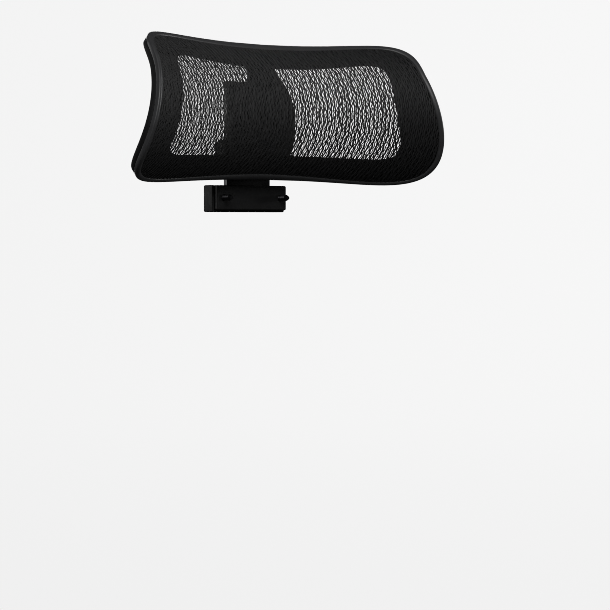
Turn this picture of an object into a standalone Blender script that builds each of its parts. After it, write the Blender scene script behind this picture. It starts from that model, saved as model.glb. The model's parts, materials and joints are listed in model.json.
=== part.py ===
"""Chair headrest attachment: a framed mesh pad that tilts on a friction hinge and slides up a flat rail.

Metres, +Z up. The sitter looks along -Y and +X is on the sitter's left. The origin is the centre of
the mounting face, the flat front of the bracket that bears on the back of a chair's top rail.
"""

import math

import bmesh
import bpy
from mathutils import Matrix, Vector

GAP = 0.0003
ROUND_STEPS = 20

# Pad: a saddle, hollow from side to side and crowned from top to bottom.
CROWN_Y = -0.047
CROWN_Z = 0.084
WRAP_RADIUS = 0.345
CROWN_RADIUS = 0.083
# Outlines on the saddle: half width along the arc, and heights above and below the crown line.
PAD = {
    "half_arc": 0.1584, "top": 0.0638, "bottom": -0.0662, "level": 0.0376, "taper": -2.95,
    "top_lift": 0.0106, "bottom_drop": 0.0099, "upper": (8.0, 3.8), "lower": (6.9, 2.0),
}
WINDOW = {
    "half_arc": 0.1265, "top": 0.0410, "bottom": -0.0452, "level": 0.0112, "taper": -1.50,
    "top_lift": 0.0136, "bottom_drop": 0.0040, "upper": (9.0, 6.5), "lower": (12.0, 9.0),
}
# Segments along each half outline: top edge, upper side, lower side, bottom edge.
OUTLINE_STEPS = (12, 5, 9, 12)
FABRIC_EDGE = 0.0053
FABRIC_THICK = 0.0009
FABRIC_RINGS = (1.0, 0.87, 0.72, 0.52, 0.30, 0.08)

# Spine: the plate that joins the frame's top and bottom behind the mesh.
SPINE_FRONT = -0.0195
SPINE_THICK = 0.0037
SPINE_TOP = 0.1365
SPINE_BOTTOM = 0.0272
SPINE_KNEE = 0.072
SPINE_BOW = (-0.0208, 0.0400)
SPINE_BACK_LIMIT = -0.0132
SPINE_NECK_Z = 0.1228
SPINE_SHOULDER_Z = 0.066
SPINE_NECK_HALF = 0.0163
SPINE_BODY_HALF = 0.0377
SPINE_FOOT_HALF = 0.0315
SPINE_RIB_THICK = 0.0028
SPINE_RIB_DEPTH = 0.0060
SPINE_STEP = 0.0055

# Tilt hinge.
AXLE_Y = -0.0055
AXLE_Z = 0.041
AXLE_RADIUS = 0.0025
KNUCKLE_RADIUS = 0.0065
BARREL_HALF = 0.0108
BUSH_FLANGE = 0.0012
BUSH_RADIUS = 0.0037
EAR_THICK = 0.0060
BASE_HALF = 0.0225
BASE_THICK = 0.0032
BASE_BOTTOM = 0.0325
BASE_TOP = 0.0715
BASE_SCREW_X = 0.0175
BASE_SCREW_LOW = 0.0535
BASE_SCREW_HIGH = 0.0655

# Height rail, its bracket and the carrier that slides on it.
RAIL_HALF = 0.0255
RAIL_FRONT = 0.0060
RAIL_THICK = 0.0070
RAIL_BOTTOM = -0.0085
RAIL_TOP = 0.1110
TONGUE_HALF = 0.0235
TONGUE_HEIGHT = 0.0045
NOTCH_PITCH = 0.0096
NOTCH_COUNT = 6
BRACKET_HALF = 0.0410
BRACKET_HALF_HEIGHT = 0.0120
BRACKET_DEPTH = 0.0180
MOUNT_BOLT_X = 0.0335
RAIL_SCREW_X = 0.0140
CARRIER_HALF = 0.0315
CARRIER_BOTTOM = 0.0200
CARRIER_TOP = 0.0570
CARRIER_FRONT = 0.0016
CARRIER_REAR = 0.0160
CARRIER_BORE_HALF = 0.0274
CARRIER_BORE_FRONT = 0.0041
COVER_SCREW_X = 0.02945
COVER_SCREW_INSET = 0.0085
SHOULDER = 0.0050
LINER_THICK = 0.0013

TILT_AXIS = Vector((0.0, AXLE_Y, AXLE_Z))
SLIDE_AXIS = Vector((0.0, RAIL_FRONT + RAIL_THICK / 2, CARRIER_BOTTOM))


# ---------------------------------------------------------------- scene and materials

def cleared_scene():
    for obj in list(bpy.data.objects):
        bpy.data.objects.remove(obj, do_unlink=True)


def new_collection(name):
    collection = bpy.data.collections.new(name)
    bpy.context.scene.collection.children.link(collection)
    return collection


def new_material(name, colour, roughness, metallic=0.0):
    material = bpy.data.materials.new(name)
    material.use_nodes = True
    shader = material.node_tree.nodes["Principled BSDF"]
    shader.inputs["Base Color"].default_value = (*colour, 1.0)
    shader.inputs["Roughness"].default_value = roughness
    shader.inputs["Metallic"].default_value = metallic
    return material


cleared_scene()
PARTS = new_collection("chair_headrest_attachment")
CUTTERS = new_collection("cutters")
MATERIALS = {
    "moulded nylon": new_material("moulded nylon", (0.012, 0.012, 0.013), 0.45),
    "satin trim": new_material("satin trim", (0.022, 0.022, 0.024), 0.33),
    "mesh fabric": new_material("mesh fabric", (0.010, 0.010, 0.011), 0.80),
    "acetal": new_material("acetal", (0.55, 0.55, 0.52), 0.40),
    "painted steel": new_material("painted steel", (0.015, 0.015, 0.016), 0.38, 0.2),
    "zinc steel": new_material("zinc steel", (0.55, 0.56, 0.58), 0.32, 1.0),
    "black screw": new_material("black screw", (0.03, 0.03, 0.032), 0.35, 1.0),
    "spring steel": new_material("spring steel", (0.40, 0.41, 0.43), 0.25, 1.0),
}


# ---------------------------------------------------------------- modelling helpers

def place(mesh, name, material=None, location=(0, 0, 0), rotation=(0, 0, 0)):
    """A part with a material goes with the parts; a shape without one is a cutter or a tool."""
    obj = bpy.data.objects.new(name, mesh)
    obj.location = location
    obj.rotation_euler = rotation
    if material:
        PARTS.objects.link(obj)
        if not mesh.materials:
            mesh.materials.append(MATERIALS[material])
    else:
        CUTTERS.objects.link(obj)
        obj.hide_render = True
        obj.display_type = "WIRE"
    return obj


def mesh_of(shape, name, smooth=False):
    bmesh.ops.recalc_face_normals(shape, faces=shape.faces)
    mesh = bpy.data.meshes.new(name)
    shape.to_mesh(mesh)
    shape.free()
    if smooth:
        mesh.shade_smooth()
        mesh.set_sharp_from_angle(angle=math.radians(35))
    return mesh


def block(name, low, high, material=None, bevel=0.0, segments=2):
    """A box between two corners, with its edges rounded where a bevel is given."""
    low, high = Vector(low), Vector(high)
    shape = bmesh.new()
    bmesh.ops.create_cube(shape, size=1.0)
    bmesh.ops.scale(shape, vec=high - low, verts=shape.verts)
    obj = place(mesh_of(shape, name), name, material, (low + high) / 2)
    if bevel:
        rounded = obj.modifiers.new("rounded edges", "BEVEL")
        rounded.width = bevel
        rounded.segments = segments
    return obj


def rod(name, radius, x_low, x_high, material=None, centre=TILT_AXIS, steps=ROUND_STEPS):
    """A cylinder along X between two stations, about the given centre line."""
    shape = bmesh.new()
    bmesh.ops.create_cone(
        shape, cap_ends=True, segments=steps, radius1=radius, radius2=radius, depth=x_high - x_low
    )
    middle = ((x_low + x_high) / 2, centre.y, centre.z)
    return place(mesh_of(shape, name, True), name, material, middle, (0, math.pi / 2, 0))


def bore(name, radius, y_low, y_high, x, z, steps=ROUND_STEPS):
    """A cylinder along Y, for holes and bosses."""
    shape = bmesh.new()
    bmesh.ops.create_cone(
        shape, cap_ends=True, segments=steps, radius1=radius, radius2=radius, depth=y_high - y_low
    )
    return place(mesh_of(shape, name), name, None, (x, (y_low + y_high) / 2, z), (math.pi / 2, 0, 0))


def combine(obj, tool, operation):
    modifier = obj.modifiers.new(tool.name, "BOOLEAN")
    modifier.operation = operation
    modifier.object = tool


def cut(obj, *tools):
    for tool in tools:
        combine(obj, tool, "DIFFERENCE")


def join(obj, *tools):
    for tool in tools:
        combine(obj, tool, "UNION")


def turned(name, profile):
    """A mesh turned about local Z from (radius, height) points, outer side first, top to bottom."""
    line = bpy.data.meshes.new(name)
    line.from_pydata([(r, 0, z) for r, z in profile], [(i, i + 1) for i in range(len(profile) - 1)], [])
    obj = place(line, name)
    screw = obj.modifiers.new("turn", "SCREW")
    screw.steps = screw.render_steps = ROUND_STEPS
    screw.use_merge_vertices = True
    screw.merge_threshold = 0.00001
    return frozen(obj, name)


def frozen(obj, name):
    """The evaluated mesh of a tool object, which is then removed."""
    bpy.context.view_layer.update()
    evaluated = obj.evaluated_get(bpy.context.evaluated_depsgraph_get())
    mesh = bpy.data.meshes.new_from_object(evaluated)
    mesh.name = name
    bpy.data.objects.remove(obj, do_unlink=True)
    shape = bmesh.new()
    shape.from_mesh(mesh)
    bmesh.ops.remove_doubles(shape, verts=shape.verts, dist=0.000001)
    bmesh.ops.recalc_face_normals(shape, faces=shape.faces)
    shape.to_mesh(mesh)
    shape.free()
    mesh.shade_smooth()
    mesh.set_sharp_from_angle(angle=math.radians(35))
    return mesh


def socket_head(name, head_radius, head_height, shank_radius, length, socket_flat):
    """A round-headed screw along local Z, head on top of z = 0, with a hexagon socket."""
    edge = 0.35 * head_height
    mesh = turned(name, [
        (0.0, head_height), (head_radius - edge, head_height), (head_radius, head_height - edge),
        (head_radius, 0.0), (shank_radius, 0.0), (shank_radius, shank_radius - length),
        (0.6 * shank_radius, -length), (0.0, -length),
    ])
    screw = place(mesh, name + " blank")
    shape = bmesh.new()
    bmesh.ops.create_cone(
        shape, cap_ends=True, segments=6, radius1=socket_flat / math.sqrt(3),
        radius2=socket_flat / math.sqrt(3), depth=1.3 * head_height,
    )
    socket = place(mesh_of(shape, name + " socket"), name + " socket", None, (0, 0, head_height))
    cut(screw, socket)
    finished = frozen(screw, name)
    bpy.data.objects.remove(socket, do_unlink=True)
    return finished


def ring_loft(name, sections, material=None):
    """A closed tube through a closed loop of sections that all have the same number of points."""
    shape = bmesh.new()
    rows = [[shape.verts.new(point) for point in section] for section in sections]
    for row, following in zip(rows, rows[1:] + rows[:1]):
        for i in range(len(row)):
            j = (i + 1) % len(row)
            shape.faces.new((row[i], row[j], following[j], following[i]))
    return place(mesh_of(shape, name, True), name, material)


def capped_loft(name, sections, material=None):
    """A closed solid through an open run of sections, with a face at each end."""
    shape = bmesh.new()
    rows = [[shape.verts.new(point) for point in section] for section in sections]
    for row, following in zip(rows, rows[1:]):
        for i in range(len(row)):
            j = (i + 1) % len(row)
            shape.faces.new((row[i], row[j], following[j], following[i]))
    shape.faces.new(rows[0])
    shape.faces.new(reversed(rows[-1]))
    return place(mesh_of(shape, name), name, material)


def pivot(name, location, parent=None):
    """An empty on a joint's axis, which carries the pieces that move about it."""
    empty = bpy.data.objects.new(name, None)
    empty.location = location
    PARTS.objects.link(empty)
    if parent:
        carry(parent, empty)
    return empty


def carry(parent, *children):
    """Parents the children and leaves them where they are."""
    bpy.context.view_layer.update()
    for child in children:
        child.parent = parent
        child.matrix_parent_inverse = parent.matrix_world.inverted()


# ---------------------------------------------------------------- the saddle and its outlines

def saddle(arc, height, depth):
    """The point that lies `depth` behind the mesh, at an arc length from the centre and a height."""
    lean = math.asin(height / CROWN_RADIUS)
    radius = WRAP_RADIUS + CROWN_RADIUS * (1 - math.cos(lean)) + depth * math.cos(lean)
    turn = arc / WRAP_RADIUS
    return Vector((
        radius * math.sin(turn),
        CROWN_Y - WRAP_RADIUS + radius * math.cos(turn),
        CROWN_Z + height - depth * math.sin(lean),
    ))


def outline_point(o, upper, angle):
    """A point of a rounded outline: upper half from top centre, lower half from the side."""
    side_power, edge_power = o["upper"] if upper else o["lower"]
    if upper:
        reach = o["top"] - o["level"]
        across, along, lift = math.sin(angle), math.cos(angle), o["top_lift"]
    else:
        reach = o["bottom"] - o["level"]
        across, along, lift = math.cos(angle), math.sin(angle), -o["bottom_drop"]
    across, along = max(across, 0.0) ** (2 / side_power), max(along, 0.0) ** (2 / edge_power)
    height = o["level"] + reach * along
    arc = o["half_arc"] * across * (1 + o["taper"] * (height - o["level"]))
    return Vector((arc, height + lift * (arc / o["half_arc"]) ** 2 * along))


def spaced(points, count, towards_end):
    """Points spaced along a polyline, closer together towards one end, where the corner is."""
    lengths = [0.0]
    for a, b in zip(points, points[1:]):
        lengths.append(lengths[-1] + (b - a).length)
    result = []
    for step in range(count):
        turn = step / count * math.pi / 2
        wanted = (math.sin(turn) if towards_end else 1 - math.cos(turn)) * lengths[-1]
        i = max(k for k in range(len(points) - 1) if lengths[k] <= wanted)
        share = (wanted - lengths[i]) / (lengths[i + 1] - lengths[i])
        result.append(points[i].lerp(points[i + 1], share))
    return result


def outline(o):
    """The whole closed outline as (arc, height), clockwise from the top centre."""
    quarter = math.pi / 4
    half = []
    for number, count in enumerate(OUTLINE_STEPS):
        start = (number % 2) * quarter
        fine = [outline_point(o, number < 2, start + k / 60 * quarter) for k in range(61)]
        half += spaced(fine, count, number % 2 == 0)
    half.append(outline_point(o, False, 2 * quarter))
    left = [Vector((-point.x, point.y)) for point in reversed(half[1:-1])]
    return half + left


OUTER = outline(PAD)
INNER = outline(WINDOW)


def band_section(outer, inner, profile):
    """A section across the border, from (from outer edge, from inner edge, depth) points."""
    width = (inner - outer).length
    inward = (inner - outer) / width
    section = []
    for from_outer, from_inner, depth in profile:
        reach = width - from_inner if from_outer is None else from_outer
        at = outer + inward * reach
        section.append(saddle(at.x, at.y, depth))
    return section


def band(name, profile, material=None):
    return ring_loft(name, [band_section(a, b, profile) for a, b in zip(OUTER, INNER)], material)


# ---------------------------------------------------------------- pad

def spine_half_width(z):
    """A neck at the top, round shoulders and a wide body, with a flare where it meets the rim."""
    if z > SPINE_NECK_Z:
        return SPINE_NECK_HALF + 0.007 * ((z - SPINE_NECK_Z) / (SPINE_TOP - SPINE_NECK_Z)) ** 2
    if z < SPINE_SHOULDER_Z:
        return max(SPINE_FOOT_HALF, SPINE_BODY_HALF - 9.8 * (SPINE_SHOULDER_Z - z) ** 2)
    share = (SPINE_NECK_Z - z) / (SPINE_NECK_Z - SPINE_SHOULDER_Z)
    swell = math.sin(share * math.pi / 2) ** 1.3
    return SPINE_NECK_HALF + (SPINE_BODY_HALF - SPINE_NECK_HALF) * swell


def spine_front(z):
    """Flat behind the hinge, then bowed forward and back again to the frame's top."""
    share = max(0.0, (z - SPINE_KNEE) / (SPINE_TOP - SPINE_KNEE))
    bowed = SPINE_FRONT + SPINE_BOW[0] * share + SPINE_BOW[1] * share ** 3
    return min(bowed, SPINE_BACK_LIMIT)


def spine_section(z):
    """A channel: a plate with a rib along each edge, deepest behind the hinge."""
    half = spine_half_width(z)
    front = spine_front(z)
    rear = front + SPINE_THICK
    depth = 0.0004 + SPINE_RIB_DEPTH * max(0.0, min(1.0, (0.104 - z) / 0.030, (z - 0.029) / 0.008))
    gusset = 0.0115 * max(0.0, (z - 0.127) / (SPINE_TOP - 0.127))
    inner = half - SPINE_RIB_THICK
    corners = [
        (-half, front - gusset), (half, front - gusset), (half, rear + depth), (inner, rear + depth),
        (inner, rear), (-inner, rear), (-inner, rear + depth), (-half, rear + depth),
    ]
    return [(x, y, z) for x, y in corners]


def build_frame():
    """One moulding: the border with its rim and trim groove, and the spine behind the window."""
    frame = band("headrest_frame", [
        (0.0, None, 0.0043), (0.0014, None, 0.0043), (0.0014, None, 0.0076), (0.0034, None, 0.0076),
        (0.0034, None, 0.0043), (0.0050, None, 0.0043), (0.0050, None, 0.0017), (0.0140, None, 0.0017),
        (None, 0.0012, 0.0017), (None, 0.0, 0.0026), (None, 0.0, 0.0036), (None, 0.0012, 0.0044),
        (0.0140, None, 0.0044), (0.0080, None, 0.0046), (0.0070, None, 0.0058),
        (0.0060, None, 0.0090), (0.0052, None, 0.0098), (0.0010, None, 0.0098), (0.0, None, 0.0088),
    ], "moulded nylon")
    count = round((SPINE_TOP - SPINE_BOTTOM) / SPINE_STEP)
    heights = [SPINE_BOTTOM + (SPINE_TOP - SPINE_BOTTOM) * i / count for i in range(count + 1)]
    join(frame, capped_loft("spine", [spine_section(z) for z in heights]))
    for number, (x, z) in enumerate(hinge_screw_places()):
        join(frame, bore(f"boss {number}", 0.0042, SPINE_FRONT - 0.0025, SPINE_FRONT + 0.001, x, z))
    for number, (x, z) in enumerate(hinge_screw_places()):
        low, high = SPINE_FRONT - 0.0035, SPINE_FRONT + SPINE_THICK + 0.001
        cut(frame, bore(f"pilot {number}", 0.0019, low, high, x, z))
    return frame


def build_mesh_panel():
    """The stretched fabric: a thin sheet just in front of the border and across the window."""
    edge = []
    for outer, inner in zip(OUTER, INNER):
        edge.append(outer + (inner - outer).normalized() * FABRIC_EDGE)
    middle = Vector((0.0, (PAD["top"] + PAD["bottom"]) / 2))
    shape = bmesh.new()
    sides = []
    for depth in (0.0, FABRIC_THICK):
        rings = []
        for share in FABRIC_RINGS:
            points = [middle.lerp(point, share) for point in edge]
            rings.append([shape.verts.new(saddle(p.x, p.y, depth)) for p in points])
        for ring, inside in zip(rings, rings[1:]):
            for i in range(len(ring)):
                j = (i + 1) % len(ring)
                shape.faces.new((ring[i], ring[j], inside[j], inside[i]))
        centre = shape.verts.new(saddle(middle.x, middle.y, depth))
        for i in range(len(edge)):
            shape.faces.new((rings[-1][i], rings[-1][(i + 1) % len(edge)], centre))
        sides.append(rings[0])
    for i in range(len(edge)):
        j = (i + 1) % len(edge)
        shape.faces.new((sides[0][i], sides[0][j], sides[1][j], sides[1][i]))
    return place(mesh_of(shape, "mesh_panel", True), "mesh_panel", "mesh fabric")


def build_trim():
    """The bead that covers the fabric's edge, and the welt sewn to that edge, in its groove."""
    trim = band("edge_trim", [
        (-0.0006, None, 0.0039), (-0.0008, None, 0.0012), (0.0004, None, -0.0004),
        (0.0022, None, -0.0010), (0.0040, None, -0.0006), (0.0049, None, 0.0008),
        (0.0046, None, 0.0039),
    ], "satin trim")
    welt = band("mesh_welt", [
        (0.0017, None, 0.0043), (0.0031, None, 0.0043), (0.0031, None, 0.0072), (0.0017, None, 0.0072),
    ], "acetal")
    return [trim, welt]


# ---------------------------------------------------------------- tilt hinge

def hinge_screw_places():
    return [(x, z) for z in (BASE_SCREW_LOW, BASE_SCREW_HIGH) for x in (-BASE_SCREW_X, BASE_SCREW_X)]


def ear_span():
    start = BARREL_HALF + BUSH_FLANGE + 2 * GAP
    return start, start + EAR_THICK


def build_hinge_block():
    """The base screwed to the spine, with the two ears that hold the axle."""
    face = SPINE_FRONT + SPINE_THICK + GAP
    base = block(
        "hinge_block", (-BASE_HALF, face, BASE_BOTTOM), (BASE_HALF, face + BASE_THICK, BASE_TOP),
        "moulded nylon", 0.0010,
    )
    low, high = ear_span()
    for side, name in ((-1, "right"), (1, "left")):
        ends = sorted((side * low, side * high))
        join(base, block(
            f"ear web {name}", (ends[0], face + BASE_THICK / 2, AXLE_Z - KNUCKLE_RADIUS),
            (ends[1], AXLE_Y, AXLE_Z + KNUCKLE_RADIUS),
        ))
        join(base, rod(f"ear {name}", KNUCKLE_RADIUS, *ends))
    cut(base, rod("ear bore", AXLE_RADIUS + 0.0002, -0.030, 0.030))
    for number, (x, z) in enumerate(hinge_screw_places()):
        cut(base, bore(f"base hole {number}", 0.0022, face - 0.002, face + BASE_THICK + 0.002, x, z))
    return base


def build_hinge_screws():
    head_seat = SPINE_FRONT + SPINE_THICK + GAP + BASE_THICK + GAP
    mesh = socket_head("hinge_screw", 0.0035, 0.0022, 0.0016, 0.0085, 0.0025)
    return [
        place(mesh, f"hinge_screw_{number + 1}", "black screw", (x, head_seat, z), (-math.pi / 2, 0, 0))
        for number, (x, z) in enumerate(hinge_screw_places())
    ]


def build_axle():
    """The shouldered bolt with its nut, spring washers and end caps, all held by the ears."""
    outside = ear_span()[1] + GAP
    washer_thick = 0.0011
    head_at = outside + washer_thick + GAP
    right_end = Matrix.Rotation(-math.pi / 2, 3, "Y").to_euler()
    pieces = []
    bolt = socket_head("tilt_axle", 0.0047, 0.0030, AXLE_RADIUS, 2 * head_at + 0.0042, 0.0030)
    pieces.append(place(bolt, "tilt_axle", "zinc steel", (-head_at, AXLE_Y, AXLE_Z), right_end))
    shape = bmesh.new()
    flat_to_corner = 0.0040 * 2 / math.sqrt(3)
    bmesh.ops.create_cone(
        shape, cap_ends=True, segments=6, radius1=flat_to_corner, radius2=flat_to_corner, depth=0.0040
    )
    at = (head_at + 0.0020, AXLE_Y, AXLE_Z)
    nut = place(mesh_of(shape, "axle_nut"), "axle_nut", "zinc steel", at, (0, math.pi / 2, 0))
    cut(nut, rod("nut bore", AXLE_RADIUS + 0.0002, head_at - 0.001, head_at + 0.006))
    pieces.append(nut)
    for side, name in ((-1, "right"), (1, "left")):
        washer = turned("spring_washer", [
            (0.0029, 0.0007), (0.0050, 0.0), (0.0050, -0.0004), (0.0029, 0.0003), (0.0029, 0.0007),
        ])
        at = (side * (outside + 0.0004), AXLE_Y, AXLE_Z)
        pieces.append(place(washer, f"spring_washer_{name}", "spring steel", at, (0, side * math.pi / 2, 0)))
        cap = turned("hinge_cap", [
            (0.0, 0.0082), (0.0048, 0.0082), (0.0062, 0.0074), (0.0065, 0.0062), (0.0065, 0.0),
            (0.0054, 0.0), (0.0054, 0.0064), (0.0, 0.0068),
        ])
        at = (side * outside, AXLE_Y, AXLE_Z)
        pieces.append(place(cap, f"hinge_cap_{name}", "moulded nylon", at, (0, side * math.pi / 2, 0)))
    return pieces


def build_bushes():
    """Flanged bushes pressed into the carrier's barrel; their flanges keep the ears off it."""
    inner = AXLE_RADIUS + 0.0002
    flange_in = BARREL_HALF + GAP
    profile = [
        (0.0055, flange_in + BUSH_FLANGE), (0.0055, flange_in), (BUSH_RADIUS, flange_in),
        (BUSH_RADIUS, 0.0005), (inner, 0.0005), (inner, flange_in + BUSH_FLANGE),
        (0.0055, flange_in + BUSH_FLANGE),
    ]
    bushes = []
    for side, name in ((-1, "right"), (1, "left")):
        mesh = turned(f"hinge_bush_{name}", profile)
        at = (0.0, AXLE_Y, AXLE_Z)
        bushes.append(place(mesh, f"hinge_bush_{name}", "acetal", at, (0, side * math.pi / 2, 0)))
    return bushes


# ---------------------------------------------------------------- carrier

def cover_screw_places():
    heights = (CARRIER_BOTTOM + COVER_SCREW_INSET, CARRIER_TOP - COVER_SCREW_INSET)
    return [(x, z) for z in heights for x in (-COVER_SCREW_X, COVER_SCREW_X)]


def cut_shoulders(obj):
    """Takes the two upper corners off a carrier piece, at 45 degrees."""
    side = SHOULDER * math.sqrt(2)
    for sign, name in ((-1, "right"), (1, "left")):
        cutter = block(
            f"{obj.name} shoulder {name}", (-side / 2, -0.03, -side / 2), (side / 2, 0.03, side / 2))
        cutter.location = (sign * CARRIER_HALF, 0.0, CARRIER_TOP)
        cutter.rotation_euler = (0, math.pi / 4, 0)
        cut(obj, cutter)


def build_carrier():
    """A channel that wraps the rail's front and edges, with the hinge barrel on its front."""
    carrier = block(
        "slide_carrier", (-CARRIER_HALF, CARRIER_FRONT, CARRIER_BOTTOM),
        (CARRIER_HALF, CARRIER_REAR, CARRIER_TOP), "moulded nylon", 0.0012,
    )
    join(carrier, block(
        "barrel web", (-BARREL_HALF, AXLE_Y, AXLE_Z - 0.0052),
        (BARREL_HALF, CARRIER_FRONT + 0.001, AXLE_Z + 0.0052),
    ))
    join(carrier, rod("barrel", KNUCKLE_RADIUS, -BARREL_HALF, BARREL_HALF))
    cut(carrier, block(
        "rail channel", (-CARRIER_BORE_HALF, CARRIER_BORE_FRONT, CARRIER_BOTTOM - 0.01),
        (CARRIER_BORE_HALF, CARRIER_REAR + 0.01, CARRIER_TOP + 0.01),
    ))
    cut(carrier, rod("barrel bore", BUSH_RADIUS + 0.0002, -0.020, 0.020))
    for number, (x, z) in enumerate(cover_screw_places()):
        cut(carrier, bore(f"cover pilot {number}", 0.0012, 0.0075, CARRIER_REAR + 0.002, x, z, 12))
    cut_shoulders(carrier)
    return carrier


def build_carrier_cover():
    """The plate that closes the channel behind the rail, held by four small screws."""
    face = CARRIER_REAR + GAP
    cover = block(
        "carrier_cover", (-CARRIER_HALF, face, CARRIER_BOTTOM), (CARRIER_HALF, face + 0.0028, CARRIER_TOP),
        "moulded nylon", 0.0010,
    )
    screw = socket_head("cover_screw", 0.0021, 0.0014, 0.0010, 0.0085, 0.0013)
    screws = []
    for number, (x, z) in enumerate(cover_screw_places()):
        cut(cover, bore(f"cover hole {number}", 0.0013, face - 0.002, face + 0.005, x, z, 12))
        at = (x, face + 0.0028 + GAP, z)
        name = f"cover_screw_{number + 1}"
        screws.append(place(screw, name, "black screw", at, (-math.pi / 2, 0, 0)))
    cut_shoulders(cover)
    return [cover, *screws]


def build_liners():
    """Slippery channel shoes between the carrier and the rail's two edges."""
    liners = []
    inner_x = RAIL_HALF + GAP
    outer_x = inner_x + LINER_THICK
    for side, name in ((-1, "right"), (1, "left")):
        low, high = sorted((side * 0.0205, side * outer_x))
        liner = block(
            f"guide_liner_{name}", (low, RAIL_FRONT - GAP - LINER_THICK, CARRIER_BOTTOM + 0.001),
            (high, RAIL_FRONT + RAIL_THICK + GAP + LINER_THICK, CARRIER_TOP - 0.001), "acetal",
        )
        low, high = sorted((side * 0.0105, side * inner_x))
        cut(liner, block(
            f"liner slot {name}", (low, RAIL_FRONT - GAP, CARRIER_BOTTOM - 0.002),
            (high, RAIL_FRONT + RAIL_THICK + GAP, CARRIER_TOP + 0.002),
        ))
        liners.append(liner)
    return liners


def build_detent_spring():
    """A bowed leaf between the cover and the rail, with a nose that runs on the rail's lands."""
    rail_rear = RAIL_FRONT + RAIL_THICK
    middle = (CARRIER_BOTTOM + CARRIER_TOP) / 2
    thick = 0.0005
    sections = []
    for i in range(17):
        share = i / 16 * 2 - 1
        bow = 0.0008 * (1 - share * share)
        nose = 0.0009 * max(0.0, 1 - (share / 0.16) ** 2)
        y = rail_rear + 0.0022 - bow - nose
        z = middle + share * 0.0155
        sections.append([(-0.0090, y, z), (0.0090, y, z), (0.0090, y + thick, z), (-0.0090, y + thick, z)])
    return capped_loft("detent_spring", sections, "spring steel")


# ---------------------------------------------------------------- rail and bracket

def build_rail():
    """A flat bar with a row of shallow notches across its back."""
    rear = RAIL_FRONT + RAIL_THICK
    rail = block(
        "height_rail", (-RAIL_HALF, RAIL_FRONT, RAIL_BOTTOM), (RAIL_HALF, rear, RAIL_TOP),
        "painted steel", 0.0010,
    )
    first = (CARRIER_BOTTOM + CARRIER_TOP) / 2
    for number in range(NOTCH_COUNT):
        z = first + number * NOTCH_PITCH
        centre = Vector((0, rear + 0.0012, z))
        notch = rod(f"notch {number}", 0.0022, -0.0110, 0.0110, centre=centre, steps=16)
        cut(rail, notch)
    for side, name in ((-1, "right"), (1, "left")):
        cut(rail, bore(
            f"rail hole {name}", 0.0018, RAIL_FRONT + 0.002, rear + 0.002, side * RAIL_SCREW_X, 0.0))
        low, high = sorted((side * TONGUE_HALF, side * (RAIL_HALF + 0.01)))
        cut(rail, block(
            f"tongue side {name}", (low, RAIL_FRONT - 0.01, RAIL_TOP - TONGUE_HEIGHT),
            (high, rear + 0.01, RAIL_TOP + 0.01),
        ))
    return rail


def build_rail_cap():
    """The end stop: a cap over the rail's narrowed top, too thick to pass through the carrier."""
    rear = RAIL_FRONT + RAIL_THICK
    cap = block(
        "rail_cap", (-RAIL_HALF, RAIL_FRONT - 0.0019, RAIL_TOP - TONGUE_HEIGHT + GAP),
        (RAIL_HALF, rear + 0.0019, RAIL_TOP + 0.0023), "moulded nylon", 0.0015, 3,
    )
    cut(cap, block(
        "cap socket", (-TONGUE_HALF - GAP, RAIL_FRONT - GAP, RAIL_TOP - 0.02),
        (TONGUE_HALF + GAP, rear + GAP, RAIL_TOP + GAP),
    ))
    return cap


def build_bracket():
    """The foot that is bolted to the chair, with the pocket that the rail stands in."""
    bracket = block(
        "mount_bracket", (-BRACKET_HALF, 0.0, -BRACKET_HALF_HEIGHT),
        (BRACKET_HALF, BRACKET_DEPTH, BRACKET_HALF_HEIGHT), "moulded nylon", 0.0015,
    )
    cut(bracket, block(
        "rail pocket", (-RAIL_HALF - GAP, RAIL_FRONT - GAP, RAIL_BOTTOM - GAP),
        (RAIL_HALF + GAP, RAIL_FRONT + RAIL_THICK + GAP, BRACKET_HALF_HEIGHT + 0.01),
    ))
    for side, name in ((-1, "right"), (1, "left")):
        x = side * MOUNT_BOLT_X
        cut(bracket, bore(f"bolt hole {name}", 0.0033, -0.002, BRACKET_DEPTH + 0.002, x, 0.0))
        cut(bracket, bore(
            f"bolt recess {name}", 0.0068, BRACKET_DEPTH - 0.006, BRACKET_DEPTH + 0.002, x, 0.0))
        cut(bracket, bore(
            f"screw hole {name}", 0.0022, 0.010, BRACKET_DEPTH + 0.002, side * RAIL_SCREW_X, 0.0))
    return bracket


def build_bracket_fasteners():
    seat = BRACKET_DEPTH - 0.006
    washer_thick = 0.0012
    bolt = socket_head("mount_bolt", 0.0052, 0.0036, 0.0030, 0.0265, 0.0040)
    screw = socket_head("rail_screw", 0.0036, 0.0020, 0.0016, 0.0085, 0.0025)
    pieces = []
    for side, name in ((-1, "right"), (1, "left")):
        x = side * MOUNT_BOLT_X
        washer = turned("mount_washer", [
            (0.0062, washer_thick), (0.0062, 0.0), (0.0032, 0.0), (0.0032, washer_thick),
            (0.0062, washer_thick),
        ])
        at = (x, seat + GAP, 0.0)
        pieces.append(place(washer, f"mount_washer_{name}", "zinc steel", at, (-math.pi / 2, 0, 0)))
        at = (x, seat + washer_thick + 2 * GAP, 0.0)
        pieces.append(place(bolt, f"mount_bolt_{name}", "black screw", at, (-math.pi / 2, 0, 0)))
        at = (side * RAIL_SCREW_X, BRACKET_DEPTH + GAP, 0.0)
        pieces.append(place(screw, f"rail_screw_{name}", "black screw", at, (-math.pi / 2, 0, 0)))
    return pieces


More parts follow.
